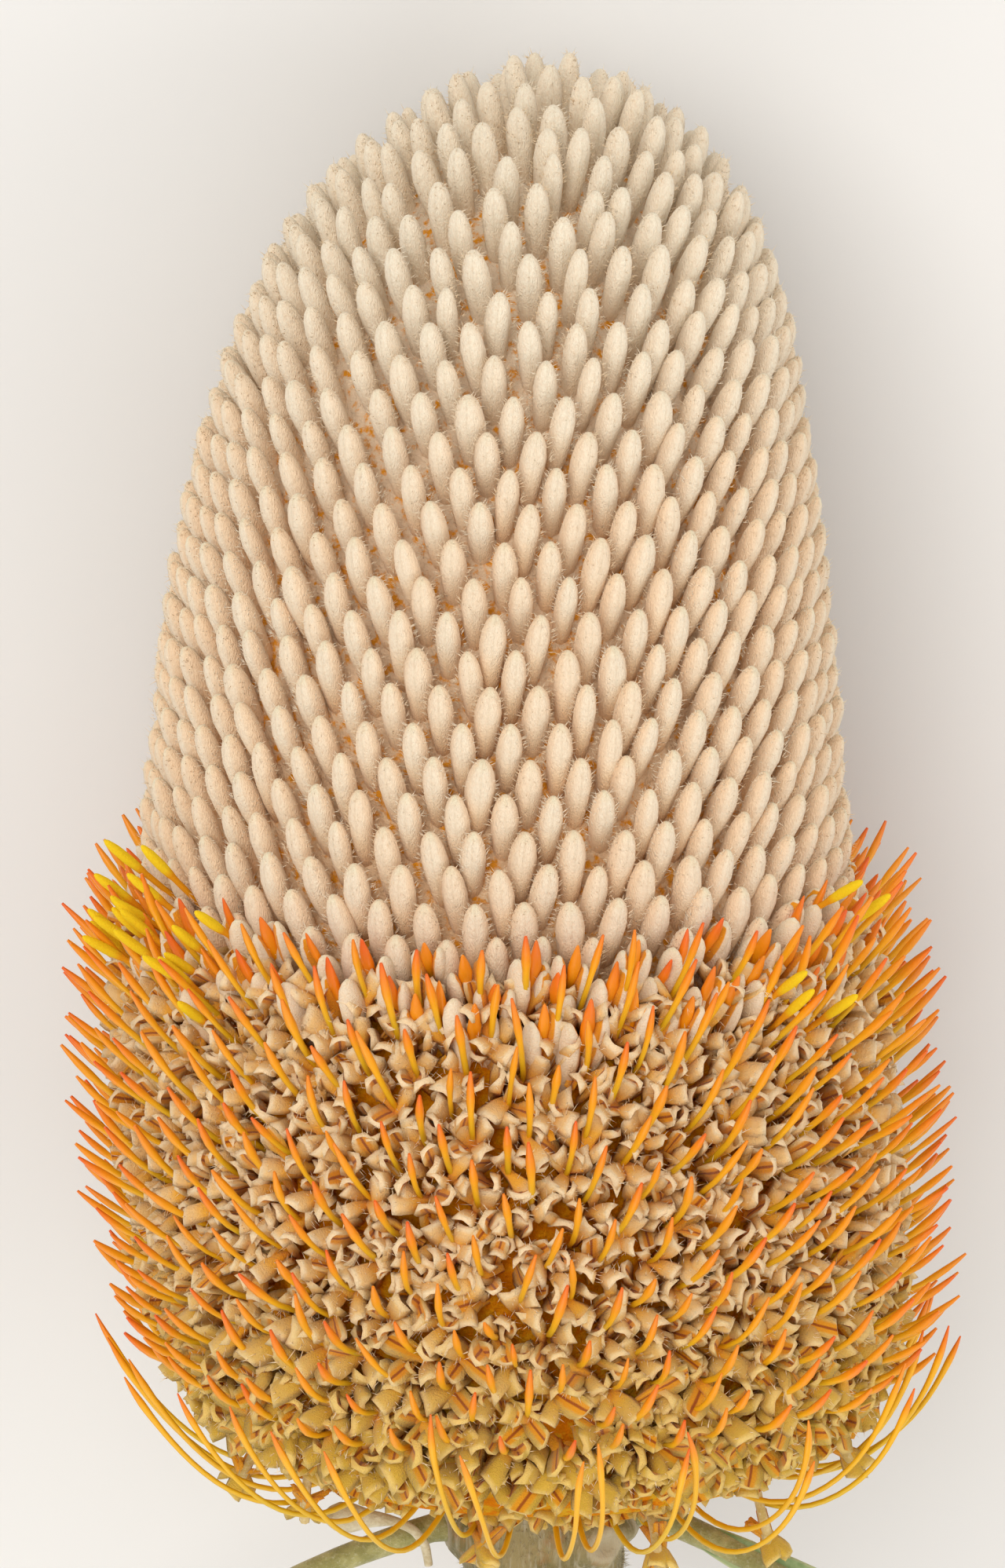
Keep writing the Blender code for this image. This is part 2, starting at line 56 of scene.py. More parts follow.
Skin = tuple[np.ndarray, list[tuple[int, ...]], Facts]


# Frames and small helpers


@dataclass(frozen=True)
class FlowerFrame:
    """The flower's own frame, +Y towards the tip and +Z to its upper side, tipped as it lies."""

    tilt: float = math.radians(9.3)
    place: tuple[float, float, float] = (-0.0007, -0.0281, 0.0427)

    def matrix(self) -> Matrix:
        """Matrix from the flower's frame to the world."""
        return Matrix.Translation(self.place) @ Matrix.Rotation(-self.tilt, 4, "X")

    def points(self, local: np.ndarray) -> np.ndarray:
        """World places of points.

        Args:
            local: Points in the flower's frame, one per row.

        Returns:
            The points in the world, one per row.
        """
        matrix = np.array(self.matrix())
        return local @ matrix[:3, :3].T + matrix[:3, 3]

    def directions(self, local: np.ndarray) -> np.ndarray:
        """World directions of directions in the flower's frame."""
        return local @ np.array(self.matrix())[:3, :3].T


FLOWER = FlowerFrame()


def unit(vectors: np.ndarray) -> np.ndarray:
    """Vectors of length one along the last axis."""
    length = np.linalg.norm(vectors, axis=-1, keepdims=True)
    return vectors / np.maximum(length, 1e-12)


def ease(value: np.ndarray | float, low: float, high: float) -> np.ndarray | float:
    """Smooth step from 0 at low to 1 at high."""
    share = np.clip((value - low) / (high - low), 0.0, 1.0)
    return share * share * (3.0 - 2.0 * share)


def between(first: np.ndarray, second: np.ndarray, angle: np.ndarray) -> np.ndarray:
    """Directions turned from the first ones towards the second ones, by an angle per row."""
    angle = np.reshape(angle, (-1, 1))
    return first * np.cos(angle) + second * np.sin(angle)


@dataclass(frozen=True)
class HeadForm:
    """Sizes of the flower head, in millimetres along and away from its axis."""

    bud_tips: tuple[tuple[float, float], ...] = (
        (54.0, 33.1), (62.0, 32.6), (71.0, 31.6), (80.0, 30.8), (89.0, 29.6), (98.0, 28.0),
        (107.0, 26.0), (111.5, 24.5), (116.0, 22.6), (120.4, 20.0), (124.9, 16.4),
        (129.3, 11.4), (132.4, 5.6), (133.5, 0.0),
    )
    band_faces: tuple[tuple[float, float], ...] = (
        (-1.0, 20.0), (1.0, 25.0), (4.0, 29.0), (8.0, 32.0), (14.0, 34.2), (22.0, 35.2),
        (32.0, 35.6), (42.0, 35.4), (50.0, 34.4), (56.0, 33.4), (62.0, 32.6),
    )
    bow_depth: float = 4.3
    bow_middle: float = 69.0
    bow_half: float = 64.0

    def bow(self, along: np.ndarray) -> np.ndarray:
        """Sideways place of the centre line at heights in millimetres."""
        share = (along - self.bow_middle) / self.bow_half
        return -self.bow_depth * np.maximum(0.0, 1.0 - share * share)

    def tip_radius(self, along: np.ndarray) -> np.ndarray:
        """Radius at the tips of the closed buds."""
        heights, radii = zip(*self.bud_tips)
        return np.interp(along, heights, radii)

    def face_radius(self, along: np.ndarray) -> np.ndarray:
        """Radius at the faces of the open florets."""
        heights, radii = zip(*self.band_faces)
        return np.interp(along, heights, radii)

    def places(self, angle: np.ndarray, along: np.ndarray, radius: np.ndarray) -> np.ndarray:
        """Points in metres at angles round the head, heights and radii in millimetres."""
        x = self.bow(along) + radius * np.sin(angle)
        return np.stack([x, along, radius * np.cos(angle)], axis=-1) * MM


HEAD = HeadForm()
AXIS = np.array([0.0, 1.0, 0.0])


def outward(angle: np.ndarray) -> np.ndarray:
    """Directions away from the axis, where angle 0 is the upper side."""
    angle = np.asarray(angle, dtype=float)
    return np.stack([np.sin(angle), np.zeros_like(angle), np.cos(angle)], axis=-1)


def quaternions(forward: np.ndarray, face: np.ndarray) -> np.ndarray:
    """World rotations that turn local Z to forward and local Y as near face as it can be.

    Args:
        forward: Directions in the flower's frame, one per row.
        face: Directions in the flower's frame, one per row.

    Returns:
        Quaternions as rows of w, x, y, z.
    """
    z = unit(FLOWER.directions(forward))
    x = unit(np.cross(FLOWER.directions(face), z))
    y = np.cross(z, x)
    turned = []
    for row in np.stack([x, y, z], axis=-1):
        turned.append(tuple(Matrix(row.tolist()).to_quaternion()))
    return np.array(turned)


def linked(name: str, data: bpy.types.ID) -> bpy.types.Object:
    """A new object, linked to the scene.

    Args:
        name: Name of the object.
        data: Its mesh, lamp or camera.

    Returns:
        The new object.
    """
    made = bpy.data.objects.new(name, data)
    bpy.context.scene.collection.objects.link(made)
    return made


def store_facts(mesh: bpy.types.Mesh, facts: Facts) -> None:
    """Stores numbers on the points of a mesh, for its material to read.

    Args:
        mesh: The mesh.
        facts: A value for each point, by attribute name.
    """
    for name, values in facts.items():
        layer = mesh.attributes.new(name, "FLOAT", "POINT")
        layer.data.foreach_set("value", np.asarray(values, dtype=np.float32))


def mesh_object(
    name: str, points: np.ndarray, faces: Sequence[Sequence[int]], facts: Facts,
    finish: bpy.types.Material | None = None, tidy: bool = True,
) -> bpy.types.Object:
    """A smooth mesh object with point attributes.

    Args:
        name: Name of the object and its mesh.
        points: Vertex places in metres.
        faces: Vertex numbers of each face.
        facts: Values for each vertex, by attribute name.
        finish: Material, where the mesh isn't a model for repeats.
        tidy: Whether to turn all faces outwards.

    Returns:
        The new object, linked to the scene.
    """
    mesh = bpy.data.meshes.new(name)
    mesh.from_pydata(points.tolist(), [], [list(face) for face in faces])
    store_facts(mesh, facts)
    if tidy:
        build = bmesh.new()
        build.from_mesh(mesh)
        bmesh.ops.recalc_face_normals(build, faces=build.faces)
        build.to_mesh(mesh)
        build.free()
    mesh.shade_smooth()
    if finish:
        mesh.materials.append(finish)
    return linked(name, mesh)


def loft(
    rings: np.ndarray, values: Facts, ends: dict[str, tuple[float, float]], first: np.ndarray,
    last: np.ndarray,
) -> Skin:
    """A closed skin through rings of points, with a point at either end.

    Args:
        rings: Array of rings by sides by three.
        values: Attribute values, rings by sides, by name.
        ends: Attribute values at the first and last end point, by name.
        first: Place of the first end point.
        last: Place of the last end point.

    Returns:
        Points, faces and attribute values.
    """
    count, sides, _ = rings.shape
    points = np.concatenate([rings.reshape(-1, 3), [first, last]])
    faces = []
    for ring in range(count - 1):
        low, high = ring * sides, (ring + 1) * sides
        for side in range(sides):
            ahead = (side + 1) % sides
            faces.append((low + side, low + ahead, high + ahead, high + side))
    head, tail, end = count * sides, count * sides + 1, (count - 1) * sides
    for side in range(sides):
        ahead = (side + 1) % sides
        faces.append((head, ahead, side))
        faces.append((tail, end + side, end + ahead))
    facts = {
        name: np.concatenate([array.reshape(-1), ends[name]]) for name, array in values.items()
    }
    return points, faces, facts


def joined(pieces: Iterable[Skin]) -> Skin:
    """Several closed skins as one set of points, faces and attribute values.

    Args:
        pieces: The skins, each as loft gives it.

    Returns:
        Points, faces and attribute values of all of them.
    """
    points, faces, facts, start = [], [], {}, 0
    for piece_points, piece_faces, piece_facts in pieces:
        points.append(piece_points)
        faces += [tuple(start + index for index in face) for face in piece_faces]
        for name, array in piece_facts.items():
            facts.setdefault(name, []).append(array)
        start += len(piece_points)
    return np.concatenate(points), faces, {k: np.concatenate(v) for k, v in facts.items()}


def bed_skin(
    name: str, heights: np.ndarray, radii: np.ndarray, ends: tuple[float, float],
    shares: np.ndarray, finish: bpy.types.Material,
) -> bpy.types.Object:
    """A closed turned skin round the head's bowed axis.

    Args:
        name: Name of the object.
        heights: Height of each ring in millimetres.
        radii: Radius of each ring in millimetres.
        ends: Heights of the lower and the upper end point.
        shares: Value of the `height` attribute on each ring.
        finish: Material of the skin.

    Returns:
        The skin as an object.
    """
    turn = np.arange(BED_SIDES) / BED_SIDES * TAU
    rings = [
        HEAD.places(turn, np.full(BED_SIDES, height), np.full(BED_SIDES, radius))
        for height, radius in zip(heights, radii)
    ]
    first, last = HEAD.places(np.zeros(2), np.array(ends), np.zeros(2))
    values = {"height": np.repeat(shares[:, None], BED_SIDES, axis=1)}
    points, faces, facts = loft(np.array(rings), values, {"height": (0.0, 1.0)}, first, last)
    return mesh_object(name, FLOWER.points(points), faces, facts, finish)


# Materials


class NodeBuilder:
    """Short ways to add and join the nodes of a tree."""

    tree: bpy.types.NodeTree

    def node(
        self, kind: str, inputs: dict[str | int, object] | None = None, **settings: object
    ) -> bpy.types.Node:
        """Adds a node.

        Args:
            kind: The node's type name.
            inputs: Values or sockets for its inputs, by name or number.
            settings: Values for its properties.

        Returns:
            The new node.
        """
        made = self.tree.nodes.new(kind)
        for key, value in settings.items():
            setattr(made, key, value)
        for key, value in (inputs or {}).items():
            if isinstance(value, Socket):
                self.tree.links.new(value, made.inputs[key])
            else:
                made.inputs[key].default_value = value
        return made

    def maths(self, kind: str, first: Socket | float, second: Socket | float) -> Socket:
        """One arithmetic step."""
        return self.node("ShaderNodeMath", {0: first, 1: second}, operation=kind).outputs[0]


class ShaderTree(NodeBuilder):
    """A material under construction."""

    def __init__(self, name: str) -> None:
        """Starts a material with its own principled shader.

        Args:
            name: Name of the material.
        """
        self.material = bpy.data.materials.new(name)
        self.material.use_nodes = True
        self.tree = self.material.node_tree
        self.shader = self.tree.nodes["Principled BSDF"]

    def fact(self, name: str) -> Socket:
        """Reads a number stored on the mesh."""
        return self.node("ShaderNodeAttribute", attribute_name=name).outputs["Fac"]

    def grain(
        self, scale: float, detail: float = 3.0, stretch: Sequence[float] = (1, 1, 1)
    ) -> Socket:
        """Noise at a number of waves per metre, with an even spread about one half.

        Args:
            scale: Waves per metre.
            detail: Number of finer layers.
            stretch: Factor on the waves along each axis.

        Returns:
            Socket of the noise, from 0 to 1.
        """
        place = self.node("ShaderNodeTexCoord").outputs["Object"]
        placed = self.node("ShaderNodeMapping", {"Vector": place, "Scale": tuple(stretch)})
        made = self.node(
            "ShaderNodeTexNoise",
            {"Vector": placed.outputs[0], "Scale": scale, "Detail": detail, "Roughness": 0.6},
        )
        return made.outputs["Fac"]

    def ramp(self, value: Socket, stops: Sequence[tuple[float, Colour]]) -> Socket:
        """Colours along a number from 0 to 1.

        Args:
            value: Socket of the number.
            stops: Place and colour of each stop, in order.

        Returns:
            Socket of the colour.
        """
        made = self.node("ShaderNodeValToRGB", {0: value})
        elements = made.color_ramp.elements
        while len(elements) < len(stops):
            elements.new(1.0)
        for element, (at, colour) in zip(elements, stops):
            element.position = at
            element.color = (*colour, 1.0)
        return made.outputs["Color"]

    def mix(self, share: Socket, low: Socket | Colour, high: Socket | Colour) -> Socket:
        """Blends two colours by a share.

        Args:
            share: Socket of the share of the second colour.
            low: Colour at share 0.
            high: Colour at share 1.

        Returns:
            Socket of the blended colour.
        """
        inputs = {0: share}
        for index, value in ((6, low), (7, high)):
            inputs[index] = value if isinstance(value, Socket) else (*value, 1.0)
        return self.node("ShaderNodeMix", inputs, data_type="RGBA").outputs[2]

    def span(
        self, value: Socket, low: float, high: float, start: float = 0.0, end: float = 1.0
    ) -> Socket:
        """Maps a number smoothly from one span to another.

        Args:
            value: Socket of the number.
            low: Where the change starts.
            high: Where it ends.
            start: Result at low and below.
            end: Result at high and above.

        Returns:
            Socket of the result.
        """
        made = self.node(
            "ShaderNodeMapRange",
            {"Value": value, "From Min": low, "From Max": high, "To Min": start, "To Max": end},
            interpolation_type="SMOOTHSTEP",
        )
        return made.outputs["Result"]

    def bump(self, height: Socket, depth: float, strength: float = 1.0) -> None:
        """Raises the surface by a height, in metres.

        Args:
            height: Socket of the height, from 0 to 1.
            depth: Height in metres that 1 stands for.
            strength: Share of the effect.
        """
        made = self.node(
            "ShaderNodeBump", {"Height": height, "Distance": depth, "Strength": strength}
        )
        self.tree.links.new(made.outputs[0], self.shader.inputs["Normal"])

    def surface(
        self, colour: Socket, roughness: float, **constants: float | tuple[float, ...]
    ) -> bpy.types.Material:
        """Joins a colour to the shader and sets its constants.

        Args:
            colour: Socket of the surface colour.
            roughness: Roughness of the surface.
            constants: Values of other inputs, with underscores for spaces.

        Returns:
            The finished material.
        """
        self.tree.links.new(colour, self.shader.inputs["Base Color"])
        self.shader.inputs["Roughness"].default_value = roughness
        for name, value in constants.items():
            self.shader.inputs[name.replace("_", " ")].default_value = value
        return self.material


@dataclass(frozen=True)
class BudWool:
    """Short silky wool of the closed buds, cream at the tip and pinkish further down; the darker
    pink and orange down the bud and on its sides is partly painted shade of the gaps between buds.
    """

    tip: Colour = (0.90, 0.80, 0.56)
    front: Colour = (0.88, 0.75, 0.57)
    # The colours from here down to the foot add painted shade of the gaps between buds to the bud's
    # own pink and orange.
    flank: Colour = (0.96, 0.73, 0.48)
    claw: Colour = (0.92, 0.58, 0.30)
    deep_orange_and_shade: Colour = (0.66, 0.28, 0.05)
    # Painted shade of the bud's sides; also the random pinker tone of some buds.
    side: Colour = (0.96, 0.68, 0.43)
    high: Colour = (0.92, 0.83, 0.66)
    seam: Colour = (0.55, 0.40, 0.22)
    speckle: Colour = (0.76, 0.50, 0.30)

    def material(self) -> bpy.types.Material:
        """Builds the material from the bud's own `along`, `seam` and `tone` values.

        Returns:
            The finished material.
        """
        tree = ShaderTree("bud wool")
        along = tree.fact("along")
        # Down the bud: cream front, then pinker and darker towards the foot, partly painted shade
        # of the gaps and partly the inner orange.
        body = tree.ramp(along, (
            (0.0, self.tip), (0.10, self.front), (0.36, self.front), (0.58, self.flank),
            (0.80, self.claw), (1.0, self.deep_orange_and_shade),
        ))
        # Painted shade: the bud's sides turn pinker and darker.
        body = tree.mix(tree.span(tree.fact("flank"), 0.35, 1.0, 0.0, 0.75), body, self.side)
        tone = tree.span(tree.fact("tone"), 0.0, 1.0, 0.0, 0.25)
        body = tree.mix(tone, body, self.side)
        body = tree.mix(tree.span(tree.fact("rise"), 0.0, 1.0, 0.0, 0.75), body, self.high)
        seam = tree.span(tree.fact("seam"), 0.80, 1.0, 0.0, 0.16)
        body = tree.mix(seam, body, self.seam)
        speckle = tree.span(tree.grain(5200.0, 2.0, (1.0, 0.45, 1.0)), 0.35, 0.75, 0.0, 0.30)
        body = tree.mix(speckle, body, self.speckle)
        silk = tree.grain(8000.0, 2.0, (1.0, 0.35, 1.0))
        tree.bump(silk, 0.00028, 0.8)
        return tree.surface(
            body, 0.85, Sheen_Weight=0.35, Sheen_Roughness=0.4, Sheen_Tint=(1.0, 0.93, 0.82, 1.0),
            Specular_IOR_Level=0.2,
        )


@dataclass(frozen=True)
class Silk:
    """Fine pale hairs."""

    name: str = "silk hair"
    colour: Colour = (1.0, 0.88, 0.68)
    dark: Colour = (0.92, 0.70, 0.44)

    def material(self) -> bpy.types.Material:
        """Builds the material, darker where the `tone` value is higher.

        Returns:
            The finished material.
        """
        tree = ShaderTree(self.name)
        body = tree.mix(tree.fact("tone"), self.colour, self.dark)
        return tree.surface(body, 0.7, Specular_IOR_Level=0.3, Sheen_Weight=0.3)


@dataclass(frozen=True)
class TepalFinish:
    """Floret lobes: woolly cream outside, smooth ochre inside with a dark slit."""

    name: str = "floret lobes"
    pale: Colour = (0.94, 0.74, 0.46)
    wool: Colour = (0.90, 0.59, 0.25)
    warm: Colour = (0.95, 0.48, 0.05)
    # Lobes of the oldest florets at the foot of the band: their own duller colour, darkened further
    # with painted shade of the dimmer lower band.
    pale_low_old_and_shaded: Colour = (0.84, 0.58, 0.15)
    wool_low_old_and_shaded: Colour = (0.66, 0.41, 0.04)
    claw: Colour = (0.95, 0.40, 0.008)
    inside: Colour = (0.84, 0.33, 0.01)
    inside_low: Colour = (0.80, 0.34, 0.01)
    slit: Colour = (0.36, 0.08, 0.003)
    speckle: Colour = (0.80, 0.44, 0.10)

    def material(self) -> bpy.types.Material:
        """Builds the material from the lobe's `along`, `inside`, `across` and `low` values.

        Returns:
            The finished material.
        """
        tree = ShaderTree(self.name)
        along = tree.fact("along")
        high = tree.ramp(along, (
            (0.0, self.pale), (0.09, self.wool), (0.18, self.wool), (0.36, self.warm),
            (0.66, self.claw),
        ))
        # Older florets low on the band: own duller colour plus painted shade of the dimmer lower
        # band.
        low = tree.ramp(along, (
            (0.0, self.pale_low_old_and_shaded), (0.07, self.wool_low_old_and_shaded), (0.34, self.wool_low_old_and_shaded), (0.66, self.claw),
        ))
        outer = tree.mix(tree.fact("low"), high, low)
        speckle = tree.span(tree.grain(3600.0), 0.35, 0.75, 0.0, 0.22)
        outer = tree.mix(speckle, outer, self.speckle)
        slit = tree.span(tree.maths("ABSOLUTE", tree.fact("across"), 0.0), 0.10, 0.40, 1.0, 0.0)
        inner = tree.mix(tree.fact("low"), self.inside, self.inside_low)
        inner = tree.mix(slit, inner, self.slit)
        body = tree.mix(tree.span(tree.fact("inside"), 0.66, 0.90), outer, inner)
        tree.bump(tree.grain(6000.0), 0.00024, 0.8)
        return tree.surface(
            body, 0.85, Sheen_Weight=0.25, Sheen_Tint=(1.0, 0.92, 0.78, 1.0),
            Specular_IOR_Level=0.25,
        )


@dataclass(frozen=True)
class StyleFinish:
    """Waxy styles, olive yellow at the foot, orange above and red orange at the tip."""

    name: str = "orange styles"
    turn: float = 0.42
    foot: Colour = (0.72, 0.46, 0.012)
    shaft: Colour = (0.90, 0.43, 0.005)
    shoulder: Colour = (0.88, 0.26, 0.004)
    tip: Colour = (0.80, 0.11, 0.008)

    def material(self) -> bpy.types.Material:
        """Builds the material from the style's `along` and `tone` values.

        Returns:
            The finished material.
        """
        tree = ShaderTree(self.name)
        body = tree.ramp(tree.fact("along"), (
            (0.0, self.foot), (0.5 * self.turn, self.foot), (self.turn, self.shaft),
            (0.5 * self.turn + 0.46, self.shoulder), (1.0, self.tip),
        ))
        body = tree.mix(tree.span(tree.fact("tone"), 0.0, 1.0, 0.0, 0.45), body, self.shaft)
        tree.bump(tree.grain(4000.0), 0.00006, 0.5)
        return tree.surface(body, 0.38, Specular_IOR_Level=0.45)


@dataclass(frozen=True)
class PollenFinish:
    """Orange shaft with a bright yellow, powdery end."""

    shaft: Colour = (0.82, 0.34, 0.006)
    pollen: Colour = (0.90, 0.62, 0.012)

    def material(self) -> bpy.types.Material:
        """Builds the material from the strand's `along` value.

        Returns:
            The finished material.
        """
        tree = ShaderTree("pollen")
        body = tree.mix(tree.span(tree.fact("along"), 0.40, 0.52), self.shaft, self.pollen)
        body = tree.mix(tree.span(tree.grain(5000.0), 0.4, 0.8, 0.0, 0.3), body, self.shaft)
        tree.bump(tree.grain(7000.0), 0.0001)
        return tree.surface(body, 0.8, Specular_IOR_Level=0.2)


@dataclass(frozen=True)
class BedFinish:
    """The shaded woolly middle of the head, seen only in the gaps."""

    name: str
    low: Colour
    high: Colour
    dark: Colour
    dark_from: float = 0.40
    dark_to: float = 0.62

    def material(self) -> bpy.types.Material:
        """Builds the material from the bed's `height` value.

        Returns:
            The finished material.
        """
        tree = ShaderTree(self.name)
        body = tree.mix(tree.fact("height"), self.low, self.high)
        patches = tree.span(tree.grain(900.0, 5.0), self.dark_from, self.dark_to)
        body = tree.mix(patches, self.dark, body)
        tree.bump(tree.grain(1500.0, 6.0), 0.0008)
        return tree.surface(body, 0.9, Specular_IOR_Level=0.1)


@dataclass(frozen=True)
class BarkFinish:
    """Felted grey-brown bark with olive and rusty patches, and a pale cut end."""

    felt: Colour = (0.34, 0.27, 0.12)
    olive: Colour = (0.17, 0.14, 0.05)
    rust: Colour = (0.36, 0.17, 0.05)
    scar: Colour = (0.48, 0.40, 0.26)
    wood: Colour = (0.66, 0.52, 0.30)
    fibre: Colour = (0.62, 0.56, 0.42)
    ring: Colour = (0.42, 0.30, 0.14)

    def material(self) -> bpy.types.Material:
        """Builds the material from the stem's `scar` and `cut` values.

        Returns:
            The finished material.
        """
        tree = ShaderTree("felted bark")
        body = tree.mix(tree.span(tree.grain(160.0, 6.0), 0.40, 0.62), self.olive, self.felt)
        body = tree.mix(tree.span(tree.grain(260.0, 5.0), 0.60, 0.74, 0.0, 0.7), body, self.rust)
        fibres = tree.grain(2400.0, 4.0, (1.0, 0.16, 1.0))
        body = tree.mix(tree.span(fibres, 0.45, 0.75, 0.0, 0.45), body, self.fibre)
        body = tree.mix(tree.span(tree.fact("scar"), 0.35, 0.85, 0.0, 0.8), body, self.scar)
        rings = tree.span(tree.grain(1400.0, 3.0), 0.35, 0.70, 0.0, 0.5)
        wood = tree.mix(rings, self.wood, self.ring)
        body = tree.mix(tree.fact("cut"), body, wood)
        tree.bump(fibres, 0.00035)
        return tree.surface(body, 0.88, Sheen_Weight=0.2, Specular_IOR_Level=0.2)


@dataclass(frozen=True)
class LeafFinish:
    """Leathery green blade with a pale midrib and veins, woolly and pale underneath."""

    blade: Colour = (0.17, 0.26, 0.09)
    young: Colour = (0.36, 0.44, 0.20)
    rib: Colour = (0.72, 0.70, 0.42)
    under: Colour = (0.56, 0.58, 0.42)
    under_dark: Colour = (0.36, 0.38, 0.24)

    def material(self) -> bpy.types.Material:
        """Builds the material from the leaf's `across`, `vein` and `under` values.

        Returns:
            The finished material.
        """
        tree = ShaderTree("leaf blade")
        body = tree.mix(tree.span(tree.grain(240.0, 4.0), 0.40, 0.65), self.blade, self.young)
        vein = tree.span(tree.fact("vein"), 0.55, 0.95, 0.0, 0.55)
        body = tree.mix(vein, body, self.rib)
        edge = tree.span(tree.fact("across"), 0.86, 1.0, 0.0, 0.5)
        body = tree.mix(edge, body, self.rib)
        middle = tree.span(tree.fact("across"), 0.02, 0.16, 0.85, 0.0)
        body = tree.mix(middle, body, self.rib)
        wool = tree.span(tree.grain(2600.0, 3.0), 0.40, 0.70)
        felt = tree.mix(wool, self.under, self.under_dark)
        body = tree.mix(tree.span(tree.fact("under"), 0.4, 0.6), body, felt)
        tree.bump(tree.maths("ADD", tree.fact("vein"), tree.grain(1800.0, 4.0)), 0.00012)
        return tree.surface(body, 0.48, Specular_IOR_Level=0.4, Coat_Weight=0.05)


@dataclass(frozen=True)
class PetioleFinish:
    """Woolly felt of the petioles, the spent claws and the fallen bud."""

    name: str
    light: Colour
    dark: Colour
    rib: Colour = (0.66, 0.62, 0.34)
    rib_from: float = 2.0
    hair: Colour = (0.80, 0.76, 0.60)

    def material(self) -> bpy.types.Material:
        """Builds the material, paler where a petiole runs on as a midrib.

        Returns:
            The finished material.
        """
        tree = ShaderTree(self.name)
        body = tree.mix(tree.span(tree.grain(420.0, 5.0), 0.38, 0.66), self.dark, self.light)
        along = tree.span(tree.fact("along"), self.rib_from, self.rib_from + 0.12)
        body = tree.mix(along, body, self.rib)
        fine = tree.grain(3400.0, 3.0)
        body = tree.mix(tree.span(fine, 0.5, 0.8, 0.0, 0.35), body, self.hair)
        tree.bump(fine, 0.00015)
        return tree.surface(body, 0.8, Sheen_Weight=0.3, Specular_IOR_Level=0.2)


@dataclass(frozen=True)
class StudioPaper:
    """Plain pale floor."""

    colour: Colour = (0.78, 0.77, 0.75)
    light: Colour = (0.80, 0.79, 0.77)

    def material(self) -> bpy.types.Material:
        """Builds the matt floor material.

        Returns:
            The finished material.
        """
        tree = ShaderTree("studio paper")
        body = tree.mix(tree.span(tree.grain(6.0), 0.3, 0.7), self.colour, self.light)
        return tree.surface(body, 0.9, Specular_IOR_Level=0.1)


# Repeats and strands made by Geometry Nodes


class GrowthTree(NodeBuilder):
    """A Geometry Nodes tree with named inputs, and a modifier that uses it."""

    def __init__(self, name: str) -> None:
        """Starts a tree that takes and gives a geometry.

        Args:
            name: Name of the tree.
        """
        self.tree = bpy.data.node_groups.new(name, "GeometryNodeTree")
        self.sockets: dict[str, str] = {}
        for way in ("INPUT", "OUTPUT"):
            self.tree.interface.new_socket(
                "Geometry", in_out=way, socket_type="NodeSocketGeometry"
            )

    def option(self, name: str, kind: str) -> None:
        """Adds a named input of a socket type."""
        made = self.tree.interface.new_socket(name, in_out="INPUT", socket_type=kind)
        self.sockets[name] = made.identifier

    def stored(self, name: str, kind: str) -> Socket:
        """Reads a value stored on the points."""
        made = self.node("GeometryNodeInputNamedAttribute", {"Name": name}, data_type=kind)
        return made.outputs[0]

    def finish(self, geometry: Socket, finish: Socket) -> None:
        """Ends the tree in real geometry with its material.

        Args:
            geometry: Socket of the grown geometry.
            finish: Socket of its material.
        """
        real = self.node("GeometryNodeRealizeInstances", {"Geometry": geometry})
        painted = self.node(
            "GeometryNodeSetMaterial", {"Geometry": real.outputs[0], "Material": finish}
        )
        self.node("NodeGroupOutput", {0: painted.outputs[0]})

    def grow(self, seed_object: bpy.types.Object, values: dict[str, object]) -> bpy.types.Object:
        """Runs the tree on an object and keeps the result as a plain mesh.

        Args:
            seed_object: The points or paths that the tree starts from.
            values: Values of the named inputs.

        Returns:
            A new object that holds the grown mesh and has no modifier.
        """
        modifier = seed_object.modifiers.new("Growth", "NODES")
        modifier.node_group = self.tree
        for name, value in values.items():
            modifier[self.sockets[name]] = value
        bpy.context.view_layer.update()
        graph = bpy.context.evaluated_depsgraph_get()
        mesh = bpy.data.meshes.new_from_object(seed_object.evaluated_get(graph))
        name = seed_object.name
        bpy.data.objects.remove(seed_object)
        mesh.name = name
        return linked(name, mesh)


